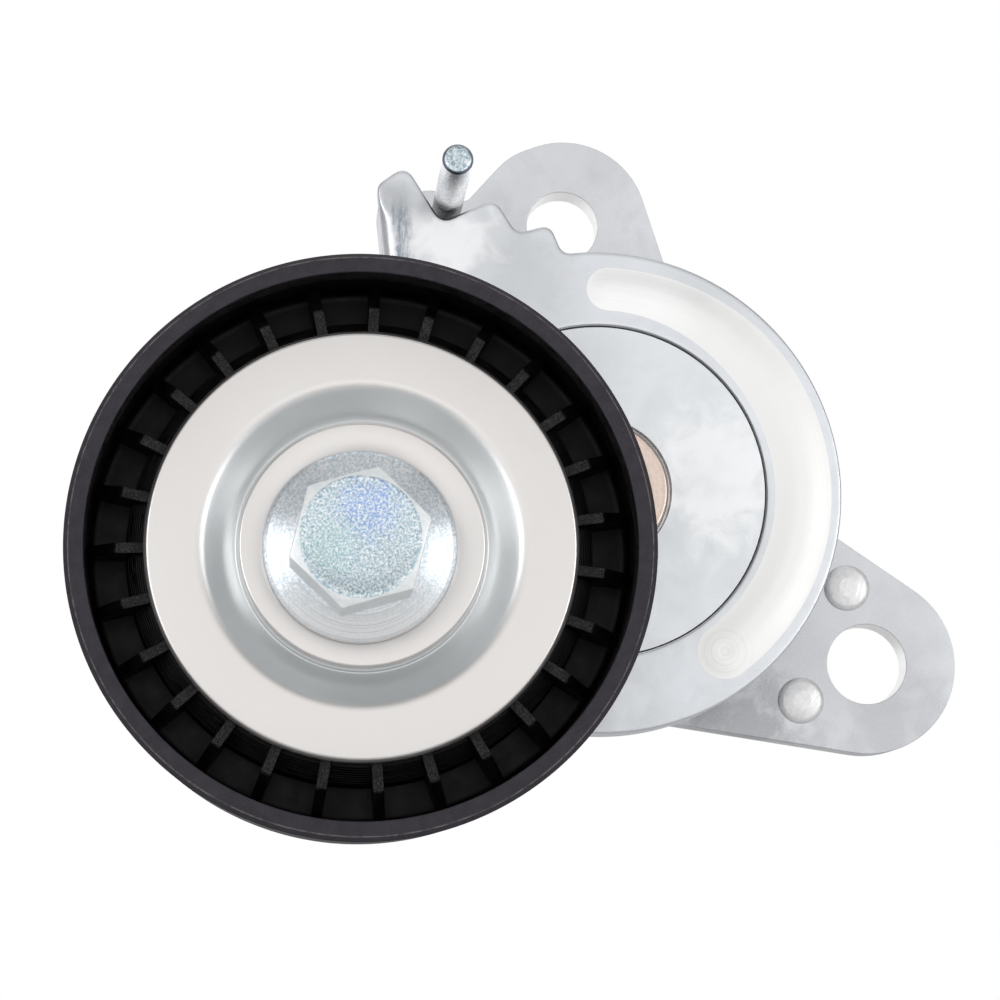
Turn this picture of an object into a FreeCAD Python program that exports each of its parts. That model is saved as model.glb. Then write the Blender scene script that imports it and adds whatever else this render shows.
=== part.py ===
import FreeCAD, Part
import math
import os

import Sketcher
from FreeCAD import Rotation, Vector

# Belt tensioner idler. The frame's origin is on the arm's pivot axis, in the plane of the
# mounting face. Both turning axes run along Y, and the front of the object faces -Y.
# A depth is a distance in front of the mounting face, so a depth of 24 lies at y = -24.

DRIVING_SIZES = {
    # bracket
    "bracket_thick": 4.5,
    "bracket_disc_r": 27.0,
    "upper_ear_x": -2.3, "upper_ear_z": 38.9, "upper_ear_r": 10.9, "upper_root_r": 20.6,
    "upper_hole_x": -2.6, "upper_hole_z": 38.3, "upper_hole_r": 4.7,
    "lower_ear_x": 36.8, "lower_ear_z": -19.2, "lower_ear_r": 11.6, "lower_hole_r": 5.2,
    "lower_root_x": 9.8, "lower_root_z": -8.6, "lower_root_r": 18.0,
    "flank_tip_x": -4.3, "flank_tip_z": 40.2, "flank_tip_r": 8.98,
    "flank_root_x": -12.5, "flank_root_z": 35.4, "flank_root_r": 6.0,
    "pin_lobe_x": -19.9, "pin_lobe_z": 36.45, "pin_lobe_r": 6.4, "pin_root_r": 16.0, "valley_r": 1.2,
    "peg_x": -36.6, "peg_z": 6.3, "peg_r": 2.0, "peg_lobe_r": 5.0, "peg_root_r": 14.0,
    "peg_top": 20.0,
    "dowel_upper_x": 34.4, "dowel_upper_z": -9.3, "dowel_lower_x": 28.1, "dowel_lower_z": -24.0,
    "dowel_shank_r": 1.6, "dowel_spigot_r": 2.5, "dowel_spigot_len": 3.0,
    "dowel_head_r": 3.0, "dowel_head_top_r": 2.1, "dowel_head_tall": 0.9,
    # pivot
    "rivet_r": 5.0, "rivet_flare_r": 6.2, "rivet_flare_deep": 1.2,
    "shaft_r": 8.47, "shaft_front": 23.9, "shaft_chamfer": 0.3, "shaft_dimple_r": 2.5,
    "running_gap": 0.03, "bush_wall": 1.1, "bush_rear": 9.0, "bush_front": 20.9,
    "plate_r": 20.45, "plate_front": 23.7, "plate_thick": 1.6, "swage_gap": 0.36, "swage_deep": 0.9,
    "washer_thick": 1.05, "washer_r": 20.2,
    # spring case
    "case_r": 27.0, "case_wall": 1.5, "case_front": 20.9,
    "sleeve_wall": 1.7, "sleeve_rear": 7.0, "sleeve_front": 20.0,
    "wire_r": 1.5, "coil_r": 18.4, "coil_rear": 7.65, "coil_pitch": 3.3, "coil_turns": 2.75,
    "anchor_wide": 5.0, "anchor_long": 4.0, "anchor_tall": 3.2,
    # arm
    "arm_front": 24.0, "arm_plate": 2.6, "disc_r": 29.95, "skirt_wall": 1.4, "skirt_rear": 18.6,
    "recess_r": 20.8, "recess_floor": 21.0, "hub_wall": 2.5, "hub_rear": 8.5,
    "boss_pad_r": 15.0, "blend": 0.3,
    "flange_rear": 14.0, "flange_wall": 2.2, "flange_foot_z": 17.5,
    "bead_inner_r": 21.6, "bead_outer_r": 28.6, "bead_tall": 0.3, "bead_start": -52.6,
    "bead_end": 87.4, "edge_round": 0.6,
    # pulley and its axis
    "pulley_x": -29.75, "pulley_z": -10.72,
    "rim_r": 33.3, "rim_inner_r": 31.05, "rim_front": 50.0, "rim_rear": 30.0, "rim_chamfer": 0.55,
    "rim_taper": 0.45, "rim_rear_chamfer": 1.0,
    "web_front": 39.8, "web_rear": 37.2, "web_corner": 1.1,
    "hub_r": 25.0, "hub_front": 45.2, "hub_back": 31.0, "hub_lip_r": 18.9,
    "step_wide": 0.42, "step_deep": 0.75,
    "rib_inner_r": 22.5, "rib_shoulder_r": 27.6, "rib_front": 46.6, "rib_rim_front": 43.2,
    "rib_back": 32.5, "rib_rim_back": 31.5, "rib_thick": 1.25, "rib_count": 27.0,
    # bearing
    "bearing_front": 44.0, "bearing_rear": 32.0, "bearing_r": 20.0, "bearing_bore_r": 8.5,
    "inner_land_r": 11.3, "outer_land_r": 17.2, "ball_circle_r": 14.25, "ball_r": 3.3,
    "ball_gap": 0.12, "ball_count": 8.0, "ring_edge": 0.4,
    "cage_inner_r": 13.1, "cage_outer_r": 15.4, "cage_wide": 9.0,
    "seal_thick": 0.8, "seal_inset": 0.3, "seal_gap": 0.3,
    # bolt, sleeve, shields
    "bolt_r": 5.0, "sleeve_bore_r": 5.1, "sleeve_flange_r": 11.0, "boss_r": 10.5,
    "sheet": 0.9, "cap_front": 48.6, "cap_r": 24.55, "cap_hub_r": 14.0, "cap_groove_r": 16.4,
    "cap_bead_r": 19.0, "cap_groove_front": 46.6,
    "rear_sheet": 0.8, "rear_dish": 2.0, "rear_shield_r": 22.0,
    "bolt_flange_r": 10.85, "bolt_flange_edge": 0.9, "bolt_cone_r": 8.6, "bolt_cone_tall": 0.9,
    "hex_across": 14.0, "hex_turn": 16.0, "hex_front": 58.6, "hex_chamfer": 0.9, "bolt_end": 21.6,
    # lock pin
    "pin_x": -18.7, "pin_z": 36.35, "pin_r": 1.85, "pin_front": 41.6, "pin_chamfer": 0.35,
    "pin_hole_gap": 0.05,
}

# Corners of the arm's locking edge: (x, z, rounding radius). They start on the tab's left edge,
# run over the tall tab, the lock notch and two lower teeth, and end inside the arm's disc.
LOCKING_EDGE = [
    (-24.9, 12.0, None),
    (-27.65, 37.9, "corner"),
    (-24.1, 40.6, "crest"),
    (-19.65, 33.35, "notch"),
    (-13.0, 36.5, "crest"),
    (-10.28, 32.12, "notch"),
    (-6.11, 33.26, "corner"),
    (-4.2, 28.4, None),
    (-4.0, 18.0, None),
]
ROUNDINGS = {"corner": 1.4, "crest": 1.8, "notch": 1.7}

FULL_TURN = 360.0
RIB_PHASE = 7.6           # degrees from +X to the first rib, seen from the front


class Dim:
    """A size that carries its spreadsheet expression along with its present value."""

    def __init__(self, text, value):
        self.text = text
        self.value = value

    def _join(self, other, sign, value):
        return Dim("(%s %s %s)" % (self.text, sign, as_dim(other).text), value)

    def __add__(self, other):
        return self._join(other, "+", self.value + as_dim(other).value)

    def __sub__(self, other):
        return self._join(other, "-", self.value - as_dim(other).value)

    def __mul__(self, other):
        return self._join(other, "*", self.value * as_dim(other).value)

    def __truediv__(self, other):
        return self._join(other, "/", self.value / as_dim(other).value)

    def __neg__(self):
        return Dim("(0 - %s)" % self.text, -self.value)


def as_dim(size):
    return size if isinstance(size, Dim) else Dim(repr(float(size)), float(size))


def cosine(degrees):
    degrees = as_dim(degrees)
    return Dim("cos(%s * 1 deg)" % degrees.text, math.cos(math.radians(degrees.value)))


def sine(degrees):
    degrees = as_dim(degrees)
    return Dim("sin(%s * 1 deg)" % degrees.text, math.sin(math.radians(degrees.value)))


class Sizes:
    """The driving sizes, each one an attribute holding a Dim."""


document = FreeCAD.newDocument("belt_tensioner_idler")
sheet = document.addObject("Spreadsheet::Sheet", "sizes")
size = Sizes()
for row, (alias, number) in enumerate(DRIVING_SIZES.items(), start=1):
    sheet.set("A%d" % row, alias)
    sheet.set("B%d" % row, str(number))
    sheet.setAlias("B%d" % row, alias)
    setattr(size, alias, Dim("sizes.%s" % alias, number))
document.recompute()

nodes = []


# ---------------------------------------------------------------- sketches and features

def new_body(label, on_pulley_axis=False, turned=0.0):
    body = document.addObject("PartDesign::Body", label)
    body.Label = label
    if turned:
        body.Placement.Rotation = Rotation(Vector(0, -1, 0), turned)
    if on_pulley_axis:
        body.setExpression("Placement.Base.x", size.pulley_x.text)
        body.setExpression("Placement.Base.z", size.pulley_z.text)
    nodes.append(body)
    return body


def new_sketch(body, name, role, depth=None):
    """A sketch on one of the body's own planes; depth moves an XZ sketch to the front."""
    sketch = body.newObject("Sketcher::SketchObject", name)
    plane = [item for item in body.Origin.OriginFeatures if item.Role == role][0]
    sketch.AttachmentSupport = (plane, [""])
    sketch.MapMode = "FlatFace"
    if depth is not None:
        sketch.setExpression("AttachmentOffset.Base.z", as_dim(depth).text)
    return sketch


def bind(sketch, constraint, amount):
    """Adds a dimension to the sketch and ties it to the sheet."""
    index = sketch.addConstraint(constraint)
    name = "size_%d" % index
    sketch.renameConstraint(index, name)
    sketch.setExpression("Constraints.%s" % name, amount.text)


def place_point(sketch, geometry, point, x, y):
    for kind, axis, amount in (("DistanceX", -2, as_dim(x)), ("DistanceY", -1, as_dim(y))):
        if amount.value == 0:
            sketch.addConstraint(Sketcher.Constraint("PointOnObject", geometry, point, axis))
        elif amount.value > 0:
            bind(sketch, Sketcher.Constraint(kind, -1, 1, geometry, point, amount.value), amount)
        else:
            bind(sketch, Sketcher.Constraint(kind, geometry, point, -1, 1, -amount.value), -amount)


def draw_circle(sketch, x, y, radius):
    x, y, radius = as_dim(x), as_dim(y), as_dim(radius)
    shape = Part.Circle(Vector(x.value, y.value, 0), Vector(0, 0, 1), radius.value)
    geometry = sketch.addGeometry(shape)
    place_point(sketch, geometry, 3, x, y)
    bind(sketch, Sketcher.Constraint("Radius", geometry, radius.value), radius)


def draw_polygon(sketch, corners):
    corners = [(as_dim(x), as_dim(y)) for x, y in corners]
    points = [Vector(x.value, y.value, 0) for x, y in corners]
    lines = [sketch.addGeometry(Part.LineSegment(points[i], points[(i + 1) % len(points)]))
             for i in range(len(points))]
    for i, line in enumerate(lines):
        following = lines[(i + 1) % len(lines)]
        sketch.addConstraint(Sketcher.Constraint("Coincident", line, 2, following, 1))
    for line, (x, y) in zip(lines, corners):
        place_point(sketch, line, 1, x, y)


def arc(centre, radius, start, end):
    circle = Part.Circle(Vector(centre[0], centre[1], 0), Vector(0, 0, 1), radius)
    return Part.ArcOfCircle(circle, start, end)


def draw_hull(sketch, first, second):
    """Two circles (x, y, radius) wrapped by their outer tangents."""
    first = [as_dim(number) for number in first]
    second = [as_dim(number) for number in second]
    ax, ay, ar = [number.value for number in first]
    bx, by, br = [number.value for number in second]
    heading = math.atan2(by - ay, bx - ax)
    spread = math.acos((ar - br) / math.hypot(bx - ax, by - ay))
    low, high = heading - spread, heading + spread

    def at(x, y, radius, angle):
        return Vector(x + radius * math.cos(angle), y + radius * math.sin(angle), 0)

    far = sketch.addGeometry(arc((bx, by), br, low, high))
    back = sketch.addGeometry(Part.LineSegment(at(bx, by, br, high), at(ax, ay, ar, high)))
    near = sketch.addGeometry(arc((ax, ay), ar, high, low + 2 * math.pi))
    out = sketch.addGeometry(Part.LineSegment(at(ax, ay, ar, low), at(bx, by, br, low)))
    for one, end, other, start in ((far, 2, back, 1), (back, 2, near, 1),
                                   (near, 2, out, 1), (out, 2, far, 1)):
        sketch.addConstraint(Sketcher.Constraint("Tangent", one, end, other, start))
    for curve, (x, y, radius) in ((near, first), (far, second)):
        place_point(sketch, curve, 3, x, y)
        bind(sketch, Sketcher.Constraint("Radius", curve, radius.value), radius)


def draw_arc_slot(sketch, inner, outer, start, end):
    """A slot bent round the origin, with round ends centred at the two angles."""
    middle = (inner + outer) / 2
    cap = (outer - inner) / 2
    low, high = math.radians(start.value), math.radians(end.value)

    def on_middle(angle):
        return (middle.value * math.cos(angle), middle.value * math.sin(angle))

    outside = sketch.addGeometry(arc((0, 0), outer.value, low, high))
    end_cap = sketch.addGeometry(arc(on_middle(high), cap.value, high, high + math.pi))
    inside = sketch.addGeometry(arc((0, 0), inner.value, low, high))
    start_cap = sketch.addGeometry(arc(on_middle(low), cap.value, low + math.pi, low + 2 * math.pi))
    for one, one_end, other, other_end in ((outside, 2, end_cap, 1), (end_cap, 2, inside, 2),
                                           (inside, 1, start_cap, 1), (start_cap, 2, outside, 1)):
        sketch.addConstraint(Sketcher.Constraint("Tangent", one, one_end, other, other_end))
    for curve in (outside, inside):
        sketch.addConstraint(Sketcher.Constraint("Coincident", curve, 3, -1, 1))
    bind(sketch, Sketcher.Constraint("Radius", outside, outer.value), outer)
    bind(sketch, Sketcher.Constraint("Radius", inside, inner.value), inner)
    # the tangents already keep the caps on the middle circle, so each needs one coordinate more
    bind(sketch, Sketcher.Constraint("DistanceX", end_cap, 3, -1, 1,
                                     -middle.value * math.cos(high)), -(middle * cosine(end)))
    bind(sketch, Sketcher.Constraint("DistanceY", start_cap, 3, -1, 1,
                                     -middle.value * math.sin(low)), -(middle * sine(start)))


def pad(body, sketch, name, thickness, rearward=False):
    """Pads an XZ sketch towards the front, or towards the mounting face."""
    feature = body.newObject("PartDesign::Pad", name)
    feature.Profile = sketch
    feature.setExpression("Length", as_dim(thickness).text)
    feature.Reversed = rearward
    return finish_feature(body, feature, sketch, grows=True)


def pocket(body, sketch, name, depth, forward=False):
    """Cuts an XZ sketch towards the mounting face, or towards the front."""
    feature = body.newObject("PartDesign::Pocket", name)
    feature.Profile = sketch
    feature.setExpression("Length", as_dim(depth).text)
    feature.Reversed = forward
    return finish_feature(body, feature, sketch, grows=False)


def finish_feature(body, feature, sketch, grows):
    before = 0.0 if body.Shape.isNull() else body.Shape.Volume
    body.Tip = feature
    document.recompute()
    change = feature.Shape.Volume - before
    if (change > 0) != grows or abs(change) < 1e-6:
        raise RuntimeError("%s changed the volume of %s by %.3f" % (feature.Name, body.Label, change))
    sketch.Visibility = False
    return feature


def spin(body, name, corners):
    """Revolves (radius, depth) corners about the body's Y axis."""
    sketch = new_sketch(body, name + "_section", "XY_Plane")
    draw_polygon(sketch, [(radius, -as_dim(depth)) for radius, depth in corners])
    feature = body.newObject("PartDesign::Revolution", name)
    feature.Profile = sketch
    feature.ReferenceAxis = (sketch, ["V_Axis"])
    feature.Angle = FULL_TURN
    return finish_feature(body, feature, sketch, grows=True)


def spin_cut(body, name, radius_at, depth_at, circle_r):
    """Cuts a round groove about the body's Y axis."""
    sketch = new_sketch(body, name + "_section", "XY_Plane")
    draw_circle(sketch, radius_at, -as_dim(depth_at), circle_r)
    feature = body.newObject("PartDesign::Groove", name)
    feature.Profile = sketch
    feature.ReferenceAxis = (sketch, ["V_Axis"])
    feature.Angle = FULL_TURN
    return finish_feature(body, feature, sketch, grows=False)


def spun_body(label, corners, on_pulley_axis=False):
    body = new_body(label, on_pulley_axis)
    spin(body, label + "_turned", corners)
    return body


def round_edges(body, name, radius, wanted):
    """Fillets the edges of the body's tip that the wanted test picks."""
    tip = body.Tip
    picked = ["Edge%d" % (i + 1) for i, edge in enumerate(tip.Shape.Edges) if wanted(edge)]
    if not picked:
        raise RuntimeError("%s finds no edge on %s" % (name, body.Label))
    feature = body.newObject("PartDesign::Fillet", name)
    feature.Base = (tip, picked)
    feature.setExpression("Radius", as_dim(radius).text)
    body.Tip = feature
    document.recompute()
    if not feature.Shape.isValid():
        raise RuntimeError("%s failed on %s" % (name, body.Label))
    return feature


def runs_along_y(edge, x, z, reach=0.05):
    ends = [vertex.Point for vertex in edge.Vertexes]
    if len(ends) != 2 or abs(ends[0].y - ends[1].y) < 1.0:
        return False
    return all(math.hypot(end.x - x, end.z - z) < reach for end in ends)


def is_circle_at(edge, radius, depth):
    if edge.Degenerated or not isinstance(edge.Curve, Part.Circle):
        return False
    curve = edge.Curve
    return abs(curve.Radius - radius) < 0.01 and abs(curve.Center.y + depth) < 0.01


def bound(feature, **sizes):
    for prop, amount in sizes.items():
        feature.setExpression(prop.replace("__", "."), as_dim(amount).text)
    return feature


def rod(name, radius, rear, front, x=0, z=0):
    """A cylinder along Y between two depths."""
    feature = document.addObject("Part::Cylinder", name)
    feature.Placement.Rotation = Rotation(Vector(1, 0, 0), -90)
    return bound(feature, Radius=radius, Height=as_dim(front) - rear, Placement__Base__x=x,
                 Placement__Base__y=-as_dim(front), Placement__Base__z=z)


def group(label, parts, kind="Part::Compound"):
    feature = document.addObject(kind, label)
    feature.Label = label
    if kind == "Part::Compound":
        feature.Links = parts
    else:
        feature.Shapes = parts
    nodes.append(feature)
    return feature


# ---------------------------------------------------------------- fixed base

def make_base_bracket():
    body = new_body("base_bracket")
    outline = new_sketch(body, "bracket_disc_outline", "XZ_Plane")
    draw_circle(outline, 0, 0, size.bracket_disc_r)
    pad(body, outline, "bracket_disc", size.bracket_thick)

    lobes = {
        "upper_ear": ((size.upper_ear_x, size.upper_ear_z, size.upper_ear_r),
                      (0, 0, size.upper_root_r)),
        "lower_ear": ((size.lower_ear_x, size.lower_ear_z, size.lower_ear_r),
                      (size.lower_root_x, size.lower_root_z, size.lower_root_r)),
        "ear_flank": ((size.flank_tip_x, size.flank_tip_z, size.flank_tip_r),
                      (size.flank_root_x, size.flank_root_z, size.flank_root_r)),
        "pin_lobe": ((size.pin_lobe_x, size.pin_lobe_z, size.pin_lobe_r), (0, 0, size.pin_root_r)),
        "peg_lobe": ((size.peg_x, size.peg_z, size.peg_lobe_r), (0, 0, size.peg_root_r)),
    }
    for name, (tip_circle, root_circle) in lobes.items():
        outline = new_sketch(body, name + "_outline", "XZ_Plane")
        draw_hull(outline, tip_circle, root_circle)
        pad(body, outline, name, size.bracket_thick)

    # the straight flank of the upper ear meets the pin's round lobe in a valley
    def in_valley(edge):
        foot = edge.Vertexes[0].Point
        on_lobe = math.hypot(foot.x - size.pin_lobe_x.value, foot.z - size.pin_lobe_z.value)
        return (abs(on_lobe - size.pin_lobe_r.value) < 0.01 and foot.x > size.pin_lobe_x.value
                and foot.z > size.pin_lobe_z.value + size.pin_lobe_r.value / 2
                and runs_along_y(edge, foot.x, foot.z))

    round_edges(body, "valley_round", size.valley_r, in_valley)

    holes = {
        "pivot_hole": (0, 0, size.rivet_r),
        "upper_hole": (size.upper_hole_x, size.upper_hole_z, size.upper_hole_r),
        "lower_hole": (size.lower_ear_x, size.lower_ear_z, size.lower_hole_r),
        "pin_hole": (size.pin_x, size.pin_z, size.pin_r + size.pin_hole_gap),
        "peg_hole": (size.peg_x, size.peg_z, size.peg_r),
        "dowel_hole_upper": (size.dowel_upper_x, size.dowel_upper_z, size.dowel_shank_r),
        "dowel_hole_lower": (size.dowel_lower_x, size.dowel_lower_z, size.dowel_shank_r),
    }
    for name, (x, z, radius) in holes.items():
        outline = new_sketch(body, name + "_outline", "XZ_Plane", size.bracket_thick)
        draw_circle(outline, x, z, radius)
        pocket(body, outline, name, size.bracket_thick)

    # countersink at the back for the flared end of the pivot shaft
    sketch = new_sketch(body, "pivot_countersink_section", "XY_Plane")
    draw_polygon(sketch, [(0, 0), (size.rivet_flare_r, 0), (size.rivet_r, -size.rivet_flare_deep),
                          (0, -size.rivet_flare_deep)])
    cut = body.newObject("PartDesign::Groove", "pivot_countersink")
    cut.Profile = sketch
    cut.ReferenceAxis = (sketch, ["V_Axis"])
    cut.Angle = FULL_TURN
    finish_feature(body, cut, sketch, grows=False)


def make_pivot_shaft():
    spun_body("pivot_shaft", [
        (0, 0), (size.rivet_flare_r, 0), (size.rivet_r, size.rivet_flare_deep),
        (size.rivet_r, size.bracket_thick), (size.shaft_r, size.bracket_thick),
        (size.shaft_r, size.shaft_front - size.shaft_chamfer),
        (size.shaft_r - size.shaft_chamfer, size.shaft_front),
        (size.shaft_dimple_r, size.shaft_front),
        (0, size.shaft_front - size.shaft_dimple_r / 2),
    ])


def make_spring_case():
    inner = size.case_r - size.case_wall
    floor = size.bracket_thick + size.case_wall
    spun_body("spring_case", [
        (size.shaft_r, size.bracket_thick), (size.case_r - size.case_wall, size.bracket_thick),
        (size.case_r, floor), (size.case_r, size.case_front), (inner, size.case_front),
        (inner, floor), (size.shaft_r, floor),
    ])


def make_retaining_plate():
    rear = size.plate_front - size.plate_thick
    spun_body("retaining_plate", [
        (size.shaft_r, rear), (size.plate_r, rear), (size.plate_r, size.plate_front),
        (size.shaft_r + size.swage_gap, size.plate_front),
        (size.shaft_r + size.swage_gap, size.plate_front - size.swage_deep),
        (size.shaft_r, size.plate_front - size.swage_deep),
    ])


def make_friction_washer():
    front = size.plate_front - size.plate_thick
    rear = front - size.washer_thick
    spun_body("friction_washer", [
        (size.shaft_r, rear), (size.washer_r, rear), (size.washer_r, front), (size.shaft_r, front),
    ])


def make_damping_sleeve():
    outer = size.case_r - size.case_wall
    inner = outer - size.sleeve_wall
    spun_body("damping_sleeve", [
        (inner, size.sleeve_rear), (outer, size.sleeve_rear),
        (outer, size.sleeve_front), (inner, size.sleeve_front),
    ])


def make_torsion_spring():
    body = new_body("torsion_spring")
    section = new_sketch(body, "wire_section", "XY_Plane")
    draw_circle(section, size.coil_r, -size.coil_rear, size.wire_r)
    coil = body.newObject("PartDesign::AdditiveHelix", "coil")
    coil.Profile = section
    coil.ReferenceAxis = (section, ["V_Axis"])
    coil.Mode = "pitch-turns-angle"
    coil.setExpression("Pitch", size.coil_pitch.text)
    coil.setExpression("Turns", size.coil_turns.text)
    coil.Reversed = True
    coil.LeftHanded = True
    finish_feature(body, coil, section, grows=True)


def make_spring_anchor():
    """The case's block, against the rear end of the coil."""
    block = document.addObject("Part::Box", "spring_anchor")
    bound(block, Length=size.anchor_wide, Width=size.anchor_tall, Height=size.anchor_long,
          Placement__Base__x=size.coil_r - size.anchor_wide / 2,
          Placement__Base__y=-(size.bracket_thick + size.case_wall + size.anchor_tall))
    nodes.append(block)
    return block


def make_locating_dowels():
    places = {"upper": (size.dowel_upper_x, size.dowel_upper_z),
              "lower": (size.dowel_lower_x, size.dowel_lower_z)}
    dowels = []
    for place, (x, z) in places.items():
        shank = rod("dowel_shank_" + place, size.dowel_shank_r, 0, size.bracket_thick, x, z)
        spigot = rod("dowel_spigot_" + place, size.dowel_spigot_r, -size.dowel_spigot_len, 0, x, z)
        head = document.addObject("Part::Cone", "dowel_head_" + place)
        head.Placement.Rotation = Rotation(Vector(1, 0, 0), 90)
        bound(head, Radius1=size.dowel_head_r, Radius2=size.dowel_head_top_r,
              Height=size.dowel_head_tall, Placement__Base__x=x, Placement__Base__z=z,
              Placement__Base__y=-size.bracket_thick)
        dowel = document.addObject("Part::MultiFuse", "dowel_" + place)
        dowel.Shapes = [shank, spigot, head]
        dowels.append(dowel)
    group("locating_dowels", dowels)


def make_stop_peg():
    peg = rod("stop_peg", size.peg_r, 0, size.peg_top, size.peg_x, size.peg_z)
    nodes.append(peg)


# ---------------------------------------------------------------- tension arm

def make_tension_arm():
    body = new_body("tension_arm")
    back = size.arm_front - size.arm_plate
    skirt_inner = size.disc_r - size.skirt_wall
    joggle_r = size.recess_r + size.arm_plate
    bush_r = size.shaft_r + size.running_gap + size.bush_wall
    floor_back = size.recess_floor - size.arm_plate
    spin(body, "arm_disc", [
        (bush_r, size.recess_floor), (size.recess_r, size.recess_floor),
        (size.recess_r, size.arm_front), (size.disc_r - size.edge_round, size.arm_front),
        (size.disc_r, size.arm_front - size.edge_round), (size.disc_r, size.skirt_rear),
        (skirt_inner, size.skirt_rear), (skirt_inner, back),
        (joggle_r, back), (joggle_r, floor_back), (bush_r + size.hub_wall, floor_back),
        (bush_r + size.hub_wall, size.hub_rear), (bush_r, size.hub_rear),
    ])

    outline = new_sketch(body, "boss_pad_outline", "XZ_Plane", back)
    draw_hull(outline, (size.pulley_x, size.pulley_z, size.boss_pad_r),
              (0, 0, size.disc_r - size.edge_round - size.blend))
    pad(body, outline, "boss_pad", size.arm_plate)

    outline = new_sketch(body, "locking_edge_outline", "XZ_Plane", back)
    draw_polygon(outline, [(x, z) for x, z, rounding in LOCKING_EDGE])
    pad(body, outline, "locking_edge", size.arm_plate)
    for rounding, radius in ROUNDINGS.items():
        corners = [(x, z) for x, z, kind in LOCKING_EDGE if kind == rounding]
        round_edges(body, rounding + "_rounding", radius,
                    lambda edge: any(runs_along_y(edge, x, z) for x, z in corners))

    # the tab's left edge is folded back into a stiffening flange
    (foot_x, foot_z, _), (head_x, head_z, _) = LOCKING_EDGE[0], LOCKING_EDGE[1]
    slope = (foot_x - head_x) / (head_z - foot_z)

    def left_edge_x(z):
        return head_x + (head_z - z) * slope

    flange_ends = (size.flange_foot_z, as_dim(head_z - ROUNDINGS["corner"]))
    outer_side = [(as_dim(left_edge_x(z.value)), z) for z in flange_ends]
    inner_side = [(x + size.flange_wall, z) for x, z in reversed(outer_side)]
    outline = new_sketch(body, "flange_outline", "XZ_Plane", back)
    draw_polygon(outline, outer_side + inner_side)
    pad(body, outline, "flange", back - size.flange_rear, rearward=True)

    outline = new_sketch(body, "recess_outline", "XZ_Plane", size.arm_front)
    draw_circle(outline, 0, 0, size.recess_r)
    pocket(body, outline, "recess", size.arm_front - size.recess_floor)

    outline = new_sketch(body, "bolt_hole_outline", "XZ_Plane", size.arm_front)
    draw_circle(outline, size.pulley_x, size.pulley_z, size.bolt_r)
    pocket(body, outline, "bolt_hole", size.arm_plate)

    outline = new_sketch(body, "bead_outline", "XZ_Plane", size.arm_front)
    draw_arc_slot(outline, size.bead_inner_r, size.bead_outer_r, size.bead_start, size.bead_end)
    pad(body, outline, "bead", size.bead_tall)


def make_pivot_bush():
    inner = size.shaft_r + size.running_gap
    outer = inner + size.bush_wall
    spun_body("pivot_bush", [
        (inner, size.bush_rear), (outer, size.bush_rear),
        (outer, size.bush_front), (inner, size.bush_front),
    ])


def make_spring_driver():
    """The arm's block, against the front end of the coil, which stops at the highest point."""
    block = document.addObject("Part::Box", "spring_driver")
    floor_back = size.recess_floor - size.arm_plate
    bound(block, Length=size.anchor_long, Width=size.anchor_tall, Height=size.anchor_wide,
          Placement__Base__y=-floor_back,
          Placement__Base__z=size.coil_r - size.anchor_wide / 2)
    nodes.append(block)
    return block


# ---------------------------------------------------------------- pulley and bearing

def make_thread_boss():
    front = size.bearing_rear - size.rear_sheet
    spun_body("thread_boss", [
        (size.bolt_r, size.arm_front), (size.boss_r, size.arm_front),
        (size.boss_r, front), (size.bolt_r, front),
    ], on_pulley_axis=True)


def make_pulley_body():
    body = new_body("pulley_body", on_pulley_axis=True, turned=RIB_PHASE)
    steps = []
    for step in range(3):
        depth = size.hub_front - size.step_deep * step
        radius = size.hub_r + size.step_wide * step
        steps.append((radius, depth))
        steps.append((radius, depth - size.step_deep))
    spin(body, "pulley_turned", [
        (size.bearing_r, size.bearing_rear), (size.bearing_r, size.bearing_front),
        (size.hub_lip_r, size.bearing_front), (size.hub_lip_r, size.hub_front),
    ] + steps + [
        (size.hub_r + size.step_wide * 4, size.web_front),
        (size.rim_inner_r, size.web_front), (size.rim_inner_r, size.rim_front),
        (size.rim_r - size.rim_chamfer, size.rim_front),
        (size.rim_r, size.rim_front - size.rim_chamfer),
        (size.rim_r - size.rim_taper, size.rim_rear + size.rim_rear_chamfer),
        (size.rim_r - size.rim_taper - size.rim_rear_chamfer, size.rim_rear),
        (size.rim_inner_r, size.rim_rear), (size.rim_inner_r, size.web_rear),
        (size.hub_r, size.web_rear), (size.hub_r, size.hub_back),
        (size.hub_lip_r, size.hub_back), (size.hub_lip_r, size.bearing_rear),
    ])
    round_edges(body, "web_corner_round", size.web_corner,
                lambda edge: is_circle_at(edge, size.rim_inner_r.value, size.web_front.value))

    sections = {
        "front_rib": [(size.rib_inner_r, size.rib_front), (size.rib_shoulder_r, size.rib_front),
                      (size.rim_inner_r + size.blend, size.rib_rim_front),
                      (size.rim_inner_r + size.blend, size.web_rear + size.blend),
                      (size.rib_inner_r, size.web_rear + size.blend)],
        "rear_rib": [(size.hub_r - size.blend, size.web_rear + size.blend),
                     (size.rim_inner_r + size.blend, size.web_rear + size.blend),
                     (size.rim_inner_r + size.blend, size.rib_rim_back),
                     (size.hub_r - size.blend, size.rib_back)],
    }
    ribs = []
    for name, corners in sections.items():
        sketch = new_sketch(body, name + "_section", "XY_Plane")
        draw_polygon(sketch, [(radius, -depth) for radius, depth in corners])
        rib = body.newObject("PartDesign::Pad", name)
        rib.Profile = sketch
        rib.Midplane = True
        rib.setExpression("Length", size.rib_thick.text)
        ribs.append(finish_feature(body, rib, sketch, grows=True))
    pattern = body.newObject("PartDesign::PolarPattern", "all_ribs")
    pattern.Originals = ribs
    pattern.Axis = (ribs[0].Profile[0], ["V_Axis"])
    pattern.Angle = FULL_TURN
    pattern.setExpression("Occurrences", size.rib_count.text)
    body.Tip = pattern
    document.recompute()


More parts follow.
